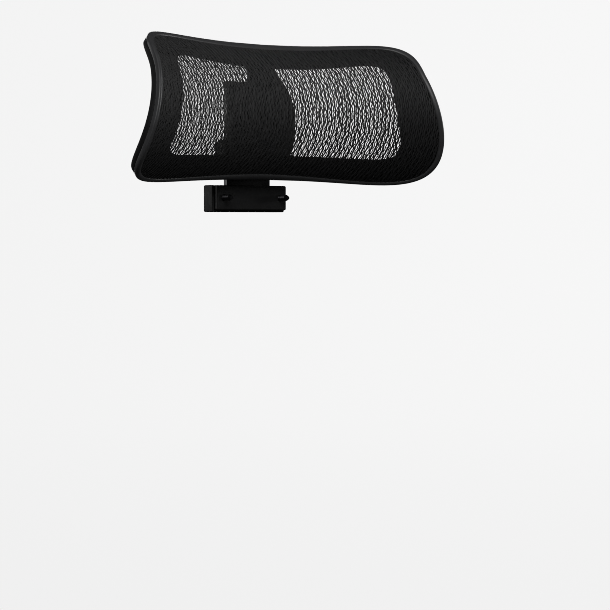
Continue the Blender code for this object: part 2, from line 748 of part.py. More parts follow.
def build_bracket_cover():
    """A snap-on shell over the bracket's back, which hides the bolts and screws."""
    wall = 0.0016
    inside = BRACKET_DEPTH + 0.0026
    low_z = -BRACKET_HALF_HEIGHT - GAP
    cover = block(
        "bracket_cover", (-BRACKET_HALF - GAP - wall, 0.0060, low_z - wall),
        (BRACKET_HALF + GAP + wall, inside + wall, BRACKET_HALF_HEIGHT + 0.0002), "moulded nylon", 0.0014,
    )
    cut(cover, block(
        "cover hollow", (-BRACKET_HALF - GAP, -0.01, low_z),
        (BRACKET_HALF + GAP, inside, BRACKET_HALF_HEIGHT + 0.01),
    ))
    return cover


# ---------------------------------------------------------------- assembly

def main():
    slide = pivot("slide_axis", SLIDE_AXIS)
    tilt = pivot("tilt_axis", TILT_AXIS, slide)
    build_bracket()
    build_bracket_cover()
    build_bracket_fasteners()
    build_rail()
    build_rail_cap()
    carry(slide, build_carrier(), *build_carrier_cover(), *build_liners(), build_detent_spring())
    carry(slide, *build_bushes())
    carry(tilt, build_frame(), build_mesh_panel(), *build_trim())
    carry(tilt, build_hinge_block(), *build_hinge_screws(), *build_axle())


main()
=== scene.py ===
"""Looks for a chair headrest attachment: its mouldings, knitted mesh, tilt hinge, slide and bracket.

Metres, +Z up. The sitter looks along -Y and +X is on the sitter's left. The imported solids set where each
piece goes; every function below makes the finer surface of one piece, and none of them moves a solid.
"""

import json
import math

import bmesh
import bpy
import numpy as np
from bpy.props import FloatProperty, FloatVectorProperty, PointerProperty
from bpy.types import Operator, Panel, PropertyGroup
from mathutils import Matrix, Vector


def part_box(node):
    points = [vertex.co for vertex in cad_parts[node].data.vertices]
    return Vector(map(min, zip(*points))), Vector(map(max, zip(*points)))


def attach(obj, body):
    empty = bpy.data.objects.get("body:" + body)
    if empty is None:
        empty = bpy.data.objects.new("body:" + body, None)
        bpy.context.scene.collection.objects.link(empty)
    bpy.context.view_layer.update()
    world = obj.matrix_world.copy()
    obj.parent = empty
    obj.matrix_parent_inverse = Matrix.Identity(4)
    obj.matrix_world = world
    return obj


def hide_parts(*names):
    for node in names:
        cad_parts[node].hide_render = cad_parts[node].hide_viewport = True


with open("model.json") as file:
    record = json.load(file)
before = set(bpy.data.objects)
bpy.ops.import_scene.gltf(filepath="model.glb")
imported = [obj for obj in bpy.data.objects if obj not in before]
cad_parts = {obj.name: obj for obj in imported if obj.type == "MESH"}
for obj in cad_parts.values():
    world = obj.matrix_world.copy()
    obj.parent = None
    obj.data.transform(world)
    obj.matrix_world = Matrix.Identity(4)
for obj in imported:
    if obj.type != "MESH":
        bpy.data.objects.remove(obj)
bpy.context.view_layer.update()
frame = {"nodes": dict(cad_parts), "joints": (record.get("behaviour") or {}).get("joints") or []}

bl_info = {
    "name": "Mesh Headrest Attachment",
    "version": (1, 0, 0),
    "blender": (4, 5, 0),
    "location": "3D View > Sidebar > Headrest",
    "description": "Builds a framed mesh headrest with its tilt hinge, height slide and bracket",
    "category": "Add Mesh",
}

# Clearance between pieces that stand side by side.
GAP = 0.0003

# The pad's saddle: hollow from side to side and crowned from top to bottom.
CROWN_Y = -0.047
CROWN_Z = 0.084
# Outlines on the saddle: half width along the arc, and heights above and below the crown line.
PAD = {
    "half_arc": 0.1584, "top": 0.0638, "bottom": -0.0662, "level": 0.0376, "taper": -2.95,
    "top_lift": 0.0106, "bottom_drop": 0.0099, "upper": (8.0, 3.8), "lower": (6.9, 2.0),
}
WINDOW = {
    "half_arc": 0.1265, "top": 0.0410, "bottom": -0.0452, "level": 0.0112, "taper": -1.50,
    "top_lift": 0.0136, "bottom_drop": 0.0040, "upper": (9.0, 6.5), "lower": (12.0, 9.0),
}
# Segments along each half outline: top edge, upper side, lower side, bottom edge.
OUTLINE_STEPS = (44, 26, 34, 44)

# The spine plate behind the window.
SPINE_FRONT = -0.0195
SPINE_THICK = 0.0037
SPINE_TOP = 0.1365
SPINE_BOTTOM = 0.0272
SPINE_KNEE = 0.072
SPINE_BOW = (-0.0208, 0.0400)
SPINE_BACK_LIMIT = -0.0132
SPINE_NECK_Z = 0.1228
SPINE_SHOULDER_Z = 0.066
SPINE_NECK_HALF = 0.0163
SPINE_BODY_HALF = 0.0377
SPINE_FOOT_HALF = 0.0315
SPINE_RIB_THICK = 0.0028
SPINE_RIB_DEPTH = 0.0060

# The mesh's upright cords bow to the sitter's right above and below this height.
FABRIC_BOW = 4.6
FABRIC_BOW_MIDDLE = -0.004
# How far the mesh's edge lies inside the outline, and how its strands run.
FABRIC_INSET = 0.0046
STRAND_STEP = 0.00125
SHORTEST_STRAND = 0.004
ZIGZAG_LENGTH = 0.0052
ZIGZAG_SWING = 0.00042
TIE_JITTER = 0.22
TIE_SLANT = 0.55
MESH_SEED = 7

# Fasteners: (head radius, head height), shank radius and the width across the socket's flats.
HINGE_SCREW = ((0.0035, 0.0022), 0.0016, 0.0025)
COVER_SCREW = ((0.0021, 0.0014), 0.0010, 0.0013)
RAIL_SCREW = ((0.0036, 0.0020), 0.0016, 0.0025)
# Square corner taken off the top of the carrier and its cover.
SHOULDER = 0.0050
# Click positions along the rail.
NOTCHES = 6

# The camera's framing, and the soft boxes: name, place, width and height, watts.
CAMERA_AIM = (0.0023, -0.0435, 0.0)
CAMERA_SHIFT = (0.040, -0.133)
LIGHT_TARGET = (0.0, -0.03, 0.08)
LIGHTS = (
    ("main", (-1.05, -1.90, 1.62), (2.0, 1.2), 32.0),
    ("left front", (-2.0, -1.9, 0.9), (0.8, 0.8), 4.0),
    ("right side", (2.3, -0.9, 0.7), (0.5, 1.4), 13.0),
    ("behind right", (1.5, 2.7, 0.5), (1.6, 1.4), 46.0),
    ("behind left", (-1.7, 2.5, 0.5), (1.2, 1.2), 12.0),
)
SKY_STRENGTH = 0.035

TURN_STEPS = 56
X_AXIS, Y_AXIS, Z_AXIS = Vector((1, 0, 0)), Vector((0, 1, 0)), Vector((0, 0, 1))


# ---------------------------------------------------------------- sizes and colours a user may change

class HEADREST_PG_pad(PropertyGroup):
    wrap_radius: FloatProperty(
        name="Wrap Radius", description="Radius of the hollow from side to side",
        default=0.345, min=0.2, max=1.0, unit="LENGTH")
    crown_radius: FloatProperty(
        name="Crown Radius", description="Radius of the crown from top to bottom",
        default=0.083, min=0.07, max=0.5, unit="LENGTH")


class HEADREST_PG_mesh(PropertyGroup):
    cord_pitch: FloatProperty(
        name="Cord Pitch", description="Distance between neighbouring upright cords",
        default=0.00415, min=0.002, max=0.01, unit="LENGTH")
    cord_width: FloatProperty(
        name="Cord Width", description="Width of an upright cord",
        default=0.00215, min=0.0002, max=0.003, unit="LENGTH")
    fine_width: FloatProperty(
        name="Fine Strand Width", description="Width of the zigzag strand between two cords",
        default=0.00120, min=0.0001, max=0.002, unit="LENGTH")
    tie_width: FloatProperty(
        name="Tie Width", description="Width of the short threads that tie cord to strand",
        default=0.00056, min=0.0001, max=0.002, unit="LENGTH")
    tie_pitch: FloatProperty(
        name="Tie Pitch", description="Distance between ties up a cord",
        default=0.0032, min=0.0008, max=0.01, unit="LENGTH")
    thickness: FloatProperty(
        name="Thickness", description="Thickness of the knitted mesh",
        default=0.0009, min=0.0003, max=0.003, unit="LENGTH")


class HEADREST_PG_colours(PropertyGroup):
    nylon: FloatVectorProperty(
        name="Nylon", description="Colour of the mouldings",
        default=(0.0075, 0.0075, 0.0079), size=3, min=0.0, max=1.0, subtype="COLOR")
    trim: FloatVectorProperty(
        name="Trim", description="Colour of the satin bead round the pad",
        default=(0.052, 0.052, 0.054), size=3, min=0.0, max=1.0, subtype="COLOR")
    yarn: FloatVectorProperty(
        name="Yarn", description="Colour of the knitted mesh",
        default=(0.0115, 0.0115, 0.0121), size=3, min=0.0, max=1.0, subtype="COLOR")
    acetal: FloatVectorProperty(
        name="Acetal", description="Colour of the bushes and slide shoes",
        default=(0.020, 0.020, 0.021), size=3, min=0.0, max=1.0, subtype="COLOR")
    powder_coat: FloatVectorProperty(
        name="Powder Coat", description="Colour of the painted rail",
        default=(0.0095, 0.0095, 0.0100), size=3, min=0.0, max=1.0, subtype="COLOR")
    backdrop: FloatVectorProperty(
        name="Backdrop", description="Colour of the floor and backdrop",
        default=(0.86, 0.86, 0.86), size=3, min=0.0, max=1.0, subtype="COLOR")


class HEADREST_PG_view(PropertyGroup):
    azimuth: FloatProperty(
        name="Azimuth", description="Turn of the camera about the object",
        default=math.radians(-36), subtype="ANGLE")
    distance: FloatProperty(
        name="Distance", description="Distance from the camera to the pad",
        default=1.94, min=0.5, unit="LENGTH")
    eye_height: FloatProperty(
        name="Eye Height", description="Height of the camera above the bracket's middle",
        default=-0.0254, unit="LENGTH")
    lens: FloatProperty(
        name="Lens", description="Focal length in millimetres", default=119.4, min=20.0)


# ---------------------------------------------------------------- finishes

def number_in(group, name, default, low, high):
    socket = group.interface.new_socket(name=name, in_out="INPUT", socket_type="NodeSocketFloat")
    socket.default_value, socket.min_value, socket.max_value = default, low, high


def number_out(group, name):
    group.interface.new_socket(name=name, in_out="OUTPUT", socket_type="NodeSocketFloat")


def new_group(name):
    """An empty shader node group with its input and output nodes."""
    group = bpy.data.node_groups.new(name, "ShaderNodeTree")
    start = group.nodes.new("NodeGroupInput")
    end = group.nodes.new("NodeGroupOutput")
    start.location, end.location = (-900, 0), (600, 0)
    return group, start, end


def object_place(tree):
    return tree.nodes.new("ShaderNodeTexCoord").outputs["Object"]


def tinted(colour, factor=1.0):
    """A colour made darker or lighter, with the alpha that a colour socket wants."""
    return (*[factor * c for c in colour], 1.0)


def maths(tree, operation, first, second=None, clamp=False):
    """A Math node; each operand is a number or a socket to link."""
    node = tree.nodes.new("ShaderNodeMath")
    node.operation = operation
    node.use_clamp = clamp
    for socket, value in zip(node.inputs, (first, second)):
        if isinstance(value, (int, float)):
            socket.default_value = value
        elif value is not None:
            tree.links.new(value, socket)
    return node.outputs[0]


def noise(tree, vector, scale, detail=3.0, roughness=0.5):
    node = tree.nodes.new("ShaderNodeTexNoise")
    node.inputs["Detail"].default_value = detail
    node.inputs["Roughness"].default_value = roughness
    tree.links.new(vector, node.inputs["Vector"])
    if isinstance(scale, (int, float)):
        node.inputs["Scale"].default_value = scale
    else:
        tree.links.new(scale, node.inputs["Scale"])
    return node.outputs["Fac"]


def remap(tree, value, low, high, to_low, to_high):
    node = tree.nodes.new("ShaderNodeMapRange")
    for name, number in (("From Min", low), ("From Max", high), ("To Min", to_low), ("To Max", to_high)):
        if isinstance(number, (int, float)):
            node.inputs[name].default_value = number
        else:
            tree.links.new(number, node.inputs[name])
    tree.links.new(value, node.inputs["Value"])
    return node.outputs["Result"]


def mixed(tree, factor, first, second):
    """A colour mix; a factor or colour is a value or a socket."""
    node = tree.nodes.new("ShaderNodeMix")
    node.data_type = "RGBA"
    for socket, value in ((node.inputs[0], factor), (node.inputs[6], first), (node.inputs[7], second)):
        if isinstance(value, (int, float, tuple)):
            socket.default_value = value
        else:
            tree.links.new(value, socket)
    return node.outputs[2]


def make_grain_group():
    """Spark-eroded grain of a mould: height for bump, and a slow variation for colour and roughness."""
    group, start, end = new_group("Moulded Grain")
    number_in(group, "Grain Scale", 2600.0, 1.0, 20000.0)
    number_in(group, "Patch Scale", 60.0, 1.0, 5000.0)
    number_out(group, "Height")
    number_out(group, "Patches")
    place = object_place(group)
    fine = noise(group, place, start.outputs["Grain Scale"], 2.0, 0.6)
    cells = group.nodes.new("ShaderNodeTexVoronoi")
    group.links.new(place, cells.inputs["Vector"])
    group.links.new(start.outputs["Grain Scale"], cells.inputs["Scale"])
    height = maths(group, "ADD", maths(group, "MULTIPLY", fine, 0.6), cells.outputs["Distance"])
    group.links.new(height, end.inputs["Height"])
    group.links.new(noise(group, place, start.outputs["Patch Scale"], 4.0, 0.6), end.inputs["Patches"])
    return group


def make_wear_group():
    """A mask for edges rubbed bright by handling, broken up so that it isn't a clean line."""
    group, start, end = new_group("Rubbed Edges")
    number_in(group, "Amount", 0.5, 0.0, 1.0)
    number_in(group, "Break-up Scale", 240.0, 1.0, 5000.0)
    number_out(group, "Mask")
    edges = remap(group, group.nodes.new("ShaderNodeNewGeometry").outputs["Pointiness"], 0.56, 0.68, 0.0, 1.0)
    place = object_place(group)
    broken = remap(group, noise(group, place, start.outputs["Break-up Scale"], 3.0), 0.40, 0.62, 0.0, 1.0)
    mask = maths(group, "MULTIPLY", maths(group, "MULTIPLY", edges, broken), start.outputs["Amount"], True)
    group.links.new(mask, end.inputs["Mask"])
    return group


def make_dust_group():
    """A mask for the fine dust that settles on faces that look up."""
    group, start, end = new_group("Settled Dust")
    number_in(group, "Amount", 0.3, 0.0, 1.0)
    number_out(group, "Mask")
    split = group.nodes.new("ShaderNodeSeparateXYZ")
    group.links.new(group.nodes.new("ShaderNodeNewGeometry").outputs["Normal"], split.inputs[0])
    upward = remap(group, split.outputs["Z"], 0.35, 1.0, 0.0, 1.0)
    place = object_place(group)
    patchy = remap(group, noise(group, place, 95.0, 5.0, 0.65), 0.38, 0.72, 0.15, 1.0)
    mask = maths(group, "MULTIPLY", maths(group, "MULTIPLY", upward, patchy), start.outputs["Amount"], True)
    group.links.new(mask, end.inputs["Mask"])
    return group


def make_yarn_group():
    """Twisted filaments: a slanting stripe up each strand, with slow shade changes from cord to cord."""
    group, start, end = new_group("Twisted Yarn")
    number_in(group, "Twist Scale", 900.0, 1.0, 20000.0)
    number_in(group, "Shade Scale", 150.0, 1.0, 5000.0)
    number_out(group, "Height")
    number_out(group, "Shade")
    place = object_place(group)
    stretch = group.nodes.new("ShaderNodeMapping")
    stretch.inputs["Rotation"].default_value = (0.0, math.radians(35), 0.0)
    stretch.inputs["Scale"].default_value = (1.0, 1.0, 0.28)
    group.links.new(place, stretch.inputs["Vector"])
    group.links.new(noise(group, stretch.outputs[0], start.outputs["Twist Scale"], 2.0), end.inputs["Height"])
    group.links.new(noise(group, place, start.outputs["Shade Scale"], 3.0), end.inputs["Shade"])
    return group


def grouped(tree, group, **values):
    """A group placed in a material, with its inputs set by name."""
    node = tree.nodes.new("ShaderNodeGroup")
    node.node_tree = group
    for name, value in values.items():
        node.inputs[name.replace("_", " ").title()].default_value = value
    return node.outputs


def new_material(name):
    material = bpy.data.materials.new(name)
    material.use_nodes = True
    return material, material.node_tree, material.node_tree.nodes["Principled BSDF"]


def bumped(tree, shader, height, strength, distance):
    bump = tree.nodes.new("ShaderNodeBump")
    bump.inputs["Strength"].default_value = strength
    bump.inputs["Distance"].default_value = distance
    tree.links.new(height, bump.inputs["Height"])
    tree.links.new(bump.outputs[0], shader.inputs["Normal"])


def coated(name, colour, roughness, grain_scale, bump, wear, dust=0.2, specular=0.5, worn=None):
    """A moulded or coated surface: grain, patchy roughness, rubbed edges and a little dust."""
    material, tree, shader = new_material(name)
    grain = grouped(tree, GROUPS["grain"], grain_scale=grain_scale)
    rubbed = grouped(tree, GROUPS["wear"], amount=wear)["Mask"]
    dusty = grouped(tree, GROUPS["dust"], amount=dust)["Mask"]
    worn = worn or tuple(min(1.0, 2.4 * c + 0.012) for c in colour)
    body = mixed(tree, grain["Patches"], tinted(colour, 0.82), tinted(colour, 1.18))
    body = mixed(tree, rubbed, body, tinted(worn))
    tree.links.new(mixed(tree, dusty, body, (0.16, 0.155, 0.145, 1.0)), shader.inputs["Base Color"])
    patchy = remap(tree, grain["Patches"], 0.3, 0.7, roughness[0], roughness[1])
    shine = maths(tree, "SUBTRACT", patchy, maths(tree, "MULTIPLY", rubbed, 0.12))
    shine = maths(tree, "ADD", shine, maths(tree, "MULTIPLY", dusty, 0.5), True)
    tree.links.new(shine, shader.inputs["Roughness"])
    shader.inputs["Specular IOR Level"].default_value = specular
    bumped(tree, shader, grain["Height"], bump[0], bump[1])
    return material


def plated(name, colour, roughness, scratch_scale, stain):
    """Bare or plated metal: fine drawn lines, cloudy roughness and darker stains."""
    material, tree, shader = new_material(name)
    place = object_place(tree)
    drawn = tree.nodes.new("ShaderNodeMapping")
    drawn.inputs["Scale"].default_value = (1.0, 14.0, 14.0)
    tree.links.new(place, drawn.inputs["Vector"])
    lines = noise(tree, drawn.outputs[0], scratch_scale, 3.0)
    clouds = grouped(tree, GROUPS["grain"], patch_scale=420.0)["Patches"]
    shades = mixed(tree, clouds, tinted(colour, stain), tinted(colour))
    tree.links.new(shades, shader.inputs["Base Color"])
    rough = remap(tree, lines, 0.3, 0.7, roughness[0], roughness[1])
    tree.links.new(rough, shader.inputs["Roughness"])
    shader.inputs["Metallic"].default_value = 1.0
    bumped(tree, shader, lines, 0.15, 0.00004)
    return material


def knitted(name, colour):
    """Polyester yarn: twisted filaments with a soft sheen at glancing angles."""
    material, tree, shader = new_material(name)
    yarn = grouped(tree, GROUPS["yarn"])
    dusty = grouped(tree, GROUPS["dust"], amount=0.04)["Mask"]
    shade = remap(tree, yarn["Shade"], 0.32, 0.68, 0.0, 1.0)
    twist = remap(tree, yarn["Height"], 0.36, 0.64, 0.0, 1.0)
    both = maths(tree, "ADD", maths(tree, "MULTIPLY", shade, 0.4), maths(tree, "MULTIPLY", twist, 0.6))
    body = mixed(tree, both, tinted(colour, 0.30), tinted(colour, 1.75))
    tree.links.new(mixed(tree, dusty, body, (0.15, 0.15, 0.145, 1.0)), shader.inputs["Base Color"])
    tree.links.new(remap(tree, yarn["Height"], 0.2, 0.8, 0.52, 0.74), shader.inputs["Roughness"])
    shader.inputs["Sheen Weight"].default_value = 0.03
    shader.inputs["Sheen Roughness"].default_value = 0.45
    bumped(tree, shader, yarn["Height"], 0.5, 0.0002)
    return material


GROUPS = {}
FINISHES = {}


def make_finishes():
    """Builds the shared groups once, then every finish, by the record's slot names."""
    if FINISHES:
        return
    GROUPS.update(
        grain=make_grain_group(), wear=make_wear_group(), dust=make_dust_group(), yarn=make_yarn_group())
    colours = bpy.context.scene.headrest_colours
    FINISHES.update({
        "moulded_nylon": coated(
            "grained nylon", tuple(colours.nylon), (0.52, 0.66), 2600.0, (0.35, 0.00010), wear=0.15,
            dust=0.1, specular=0.3),
        "satin_trim": coated(
            "satin trim bead", tuple(colours.trim), (0.34, 0.44), 1500.0, (0.12, 0.00005), wear=0.25,
            dust=0.1),
        "mesh_fabric": knitted("knitted mesh", tuple(colours.yarn)),
        "acetal": coated(
            "black acetal", tuple(colours.acetal), (0.24, 0.36), 1800.0, (0.06, 0.00004), wear=0.1,
            dust=0.1),
        "painted_steel": coated(
            "black powder coat", tuple(colours.powder_coat), (0.32, 0.46), 1100.0, (0.30, 0.00012),
            wear=0.1, worn=(0.10, 0.10, 0.105)),
        "zinc_steel": plated("bright zinc plate", (0.60, 0.61, 0.63), (0.22, 0.38), 900.0, 0.72),
        "black_screw": plated("black oxide", (0.050, 0.049, 0.052), (0.28, 0.44), 1200.0, 0.70),
        "spring_steel": plated("spring steel", (0.42, 0.42, 0.44), (0.18, 0.34), 1500.0, 0.75),
    })


def finish_piece(obj, slot_name, body, *nodes):
    """Gives a piece its finish and its body, and hides the solids that it stands for."""
    make_finishes()
    obj.data.materials.clear()
    obj.data.materials.append(FINISHES[slot_name])
    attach(obj, body)
    if nodes:
        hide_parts(*nodes)
    return obj


def refinish(node, slot_name):
    """A solid whose shape is already right keeps it and takes its finish."""
    make_finishes()
    solid = frame["nodes"][node]
    solid.data.materials.clear()
    solid.data.materials.append(FINISHES[slot_name])


# ---------------------------------------------------------------- modelling helpers

def smooth_by_angle(mesh, degrees=38):
    mesh.shade_smooth()
    mesh.set_sharp_from_angle(angle=math.radians(degrees))


def object_of(shape, name, angle=38):
    bmesh.ops.recalc_face_normals(shape, faces=shape.faces)
    mesh = bpy.data.meshes.new(name)
    shape.to_mesh(mesh)
    shape.free()
    smooth_by_angle(mesh, angle)
    obj = bpy.data.objects.new(name, mesh)
    bpy.context.scene.collection.objects.link(obj)
    return obj


def object_from_grid(rows, name, closed_rows, caps=False):
    """A surface through rows of points; each row is a closed loop, and the rows may close too."""
    shape = bmesh.new()
    made = [[shape.verts.new(point) for point in row] for row in rows]
    following = made[1:] + made[:1] if closed_rows else made[1:]
    for row, after in zip(made, following):
        count = len(row)
        for i in range(count):
            j = (i + 1) % count
            shape.faces.new((row[i], row[j], after[j], after[i]))
    if caps:
        shape.faces.new(made[0])
        shape.faces.new(reversed(made[-1]))
    return object_of(shape, name)


def eased(points, ease, steps=2, closed=True):
    """A flat outline with each corner cut back by up to `ease` and bridged with a curve."""
    result = []
    count = len(points)
    for i, point in enumerate(points):
        if not closed and i in (0, count - 1):
            result.append(point)
            continue
        before, after = points[i - 1] - point, points[(i + 1) % count] - point
        start = point + before.normalized() * min(ease, 0.45 * before.length)
        end = point + after.normalized() * min(ease, 0.45 * after.length)
        for k in range(steps + 1):
            t = k / steps
            result.append(start * (1 - t) ** 2 + point * 2 * t * (1 - t) + end * t ** 2)
    return result


def slab(name, low, high, radius=0.001, segments=4):
    """A box between two corners with rounded edges."""
    low, high = Vector(low), Vector(high)
    shape = bmesh.new()
    bmesh.ops.create_cube(shape, size=1.0)
    bmesh.ops.scale(shape, vec=high - low, verts=shape.verts)
    bmesh.ops.translate(shape, vec=(low + high) / 2, verts=shape.verts)
    if radius:
        bmesh.ops.bevel(
            shape, geom=shape.edges[:], offset=radius, segments=segments, profile=0.5, affect="EDGES")
    return object_of(shape, name)


def cylinder(name, radius, start, end, steps=TURN_STEPS):
    """A plain cylinder between two points, for cutting and joining."""
    start, end = Vector(start), Vector(end)
    shape = bmesh.new()
    bmesh.ops.create_cone(
        shape, cap_ends=True, segments=steps, radius1=radius, radius2=radius, depth=(end - start).length)
    turn = Z_AXIS.rotation_difference(end - start).to_matrix().to_4x4()
    bmesh.ops.transform(shape, matrix=Matrix.Translation((start + end) / 2) @ turn, verts=shape.verts)
    return object_of(shape, name)


def worked(obj, joins=(), cuts=(), edge=0.0):
    """Joins and cuts the tools into a piece, softens its new edges and keeps only the result."""
    for operation, tools in (("UNION", joins), ("DIFFERENCE", cuts)):
        for tool in tools:
            modifier = obj.modifiers.new(tool.name, "BOOLEAN")
            modifier.operation = operation
            modifier.solver = "EXACT"
            modifier.object = tool
    if edge:
        soft = obj.modifiers.new("softened edges", "BEVEL")
        soft.width = edge
        soft.segments = 2
        soft.limit_method = "ANGLE"
        soft.angle_limit = math.radians(50)
        soft.use_clamp_overlap = True
    bpy.context.view_layer.update()
    evaluated = obj.evaluated_get(bpy.context.evaluated_depsgraph_get())
    mesh = bpy.data.meshes.new_from_object(evaluated)
    mesh.name = obj.name
    if not mesh.polygons:
        raise RuntimeError(f"{obj.name} was cut away completely")
    obj.modifiers.clear()
    obj.data = mesh
    smooth_by_angle(mesh)
    if edge:
        flat = obj.modifiers.new("flat faces shade flat", "WEIGHTED_NORMAL")
        flat.weight = 100
        flat.keep_sharp = True
    for tool in (*joins, *cuts):
        bpy.data.objects.remove(tool, do_unlink=True)
    return obj


def turned(name, profile, pitch=0.0, depth=0.0, steps=TURN_STEPS):
    """A solid turned about Z from (radius, height, threaded) points, closed where the radius is zero."""
    shape = bmesh.new()
    rows = []
    for radius, height, threaded in profile:
        if radius == 0.0:
            rows.append([shape.verts.new((0, 0, height))])
            continue
        row = []
        for k in range(steps):
            angle = 2 * math.pi * k / steps
            r = radius
            if threaded:
                phase = (height / pitch - k / steps) % 1.0
                r -= depth * min(1.0, 2.4 * abs(phase - 0.5))
            row.append(shape.verts.new((r * math.cos(angle), r * math.sin(angle), height)))
        rows.append(row)
    for row, after in zip(rows, rows[1:]):
        for k in range(steps):
            corners = [
                row[k % len(row)], row[(k + 1) % len(row)],
                after[(k + 1) % len(after)], after[k % len(after)],
            ]
            distinct = [v for i, v in enumerate(corners) if v not in corners[:i]]
            if len(distinct) > 2:
                shape.faces.new(distinct)
    if len(rows[0]) > 1 and profile[0][:2] == profile[-1][:2]:
        bmesh.ops.remove_doubles(shape, verts=rows[0] + rows[-1], dist=1e-7)
    return object_of(shape, name, 32)


def plain(points, ease=0.0002, closed=False):
    """Turned-profile points with soft corners and no thread."""
    soft = eased([Vector(p) for p in points], ease, 3, closed)
    if closed:
        soft.append(soft[0])
    return [(p.x, p.y, False) for p in soft]


def hexagon(name, flat, low, high):
    """A hexagonal prism along Z."""
    return cylinder(name, flat / math.sqrt(3), (0, 0, low), (0, 0, high), 6)


def set_along(obj, location, direction):
    """Turns a piece made along Z to a direction and bakes its place into its mesh."""
    turn = Z_AXIS.rotation_difference(Vector(direction)).to_matrix().to_4x4()
    obj.data.transform(Matrix.Translation(location) @ turn)
    return obj


def copy_of(source, name):
    obj = bpy.data.objects.new(name, source.data.copy())
    bpy.context.scene.collection.objects.link(obj)
    return obj


def numbered(name):
    """The names of a set of four like nodes."""
    return [f"{name}_{number}" for number in range(1, 5)]


def corners_of(node):
    low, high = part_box(node)
    return Vector(low), Vector(high)


def middle_of(node):
    low, high = corners_of(node)
    return (low + high) / 2


def holes(nodes, radius, start_y, length, steps=32):
    """Cylinders along Y, one through the middle of each of these screws."""
    tools = []
    for node in nodes:
        at = middle_of(node)
        start = Vector((at.x, start_y, at.z))
        tools.append(cylinder(f"{node} hole", radius, start, start + length * Y_AXIS, steps))
    return tools


# ---------------------------------------------------------------- the saddle and its outlines

def saddle(arc, height, depth):
    """The point that lies `depth` behind the mesh, at an arc length from the centre and a height."""
    sizes = bpy.context.scene.headrest_pad
    lean = math.asin(height / sizes.crown_radius)
    radius = sizes.wrap_radius + sizes.crown_radius * (1 - math.cos(lean)) + depth * math.cos(lean)
    turn = arc / sizes.wrap_radius
    return Vector((
        radius * math.sin(turn),
        CROWN_Y - sizes.wrap_radius + radius * math.cos(turn),
        CROWN_Z + height - depth * math.sin(lean),
    ))


def outline_point(o, upper, angle):
    """A point of a rounded outline: upper half from top centre, lower half from the side."""
    side_power, edge_power = o["upper"] if upper else o["lower"]
    if upper:
        reach = o["top"] - o["level"]
        across, along, lift = math.sin(angle), math.cos(angle), o["top_lift"]
    else:
        reach = o["bottom"] - o["level"]
        across, along, lift = math.cos(angle), math.sin(angle), -o["bottom_drop"]
    across, along = max(across, 0.0) ** (2 / side_power), max(along, 0.0) ** (2 / edge_power)
    height = o["level"] + reach * along
    arc = o["half_arc"] * across * (1 + o["taper"] * (height - o["level"]))
    return Vector((arc, height + lift * (arc / o["half_arc"]) ** 2 * along))


def spaced(points, count, towards_end):
    """Points spaced along a polyline, closer together towards one end, where the corner is."""
    lengths = [0.0]
    for a, b in zip(points, points[1:]):
        lengths.append(lengths[-1] + (b - a).length)
    result = []
    for step in range(count):
        turn = step / count * math.pi / 2
        wanted = (math.sin(turn) if towards_end else 1 - math.cos(turn)) * lengths[-1]
        i = max(k for k in range(len(points) - 1) if lengths[k] <= wanted)
        share = (wanted - lengths[i]) / (lengths[i + 1] - lengths[i])
        result.append(points[i].lerp(points[i + 1], share))
    return result


def outline(o):
    """The whole closed outline as (arc, height), clockwise from the top centre."""
    quarter = math.pi / 4
    half = []
    for number, count in enumerate(OUTLINE_STEPS):
        start = (number % 2) * quarter
        fine = [outline_point(o, number < 2, start + k / 240 * quarter) for k in range(241)]
        half += spaced(fine, count, number % 2 == 0)
    half.append(outline_point(o, False, 2 * quarter))
    left = [Vector((-point.x, point.y)) for point in reversed(half[1:-1])]
    return half + left


OUTER = outline(PAD)
INNER = outline(WINDOW)


def band(name, profile, ease):
    """A closed border round the pad, from (from outer edge, from inner edge, depth) corners."""
    rows = []
    for outer, inner in zip(OUTER, INNER):
        width = (inner - outer).length
        inward = (inner - outer) / width
        corners = [
            Vector((width - from_inner if from_outer is None else from_outer, depth))
            for from_outer, from_inner, depth in profile
        ]
        section = eased(corners, ease)
        rows.append([saddle(*(outer + inward * p.x), p.y) for p in section])
    return object_from_grid(rows, name, True)


# ---------------------------------------------------------------- pad: frame, trim and mesh

def spine_half_width(z):
    """A neck at the top, round shoulders and a wide body, with a flare where it meets the rim."""
    if z > SPINE_NECK_Z:
        return SPINE_NECK_HALF + 0.007 * ((z - SPINE_NECK_Z) / (SPINE_TOP - SPINE_NECK_Z)) ** 2
    if z < SPINE_SHOULDER_Z:
        return max(SPINE_FOOT_HALF, SPINE_BODY_HALF - 9.8 * (SPINE_SHOULDER_Z - z) ** 2)
    share = (SPINE_NECK_Z - z) / (SPINE_NECK_Z - SPINE_SHOULDER_Z)
    swell = math.sin(share * math.pi / 2) ** 1.3
    return SPINE_NECK_HALF + (SPINE_BODY_HALF - SPINE_NECK_HALF) * swell


def spine_front(z):
    """Flat behind the hinge, then bowed forward and back again to the frame's top."""
    share = max(0.0, (z - SPINE_KNEE) / (SPINE_TOP - SPINE_KNEE))
    bowed = SPINE_FRONT + SPINE_BOW[0] * share + SPINE_BOW[1] * share ** 3
    return min(bowed, SPINE_BACK_LIMIT)


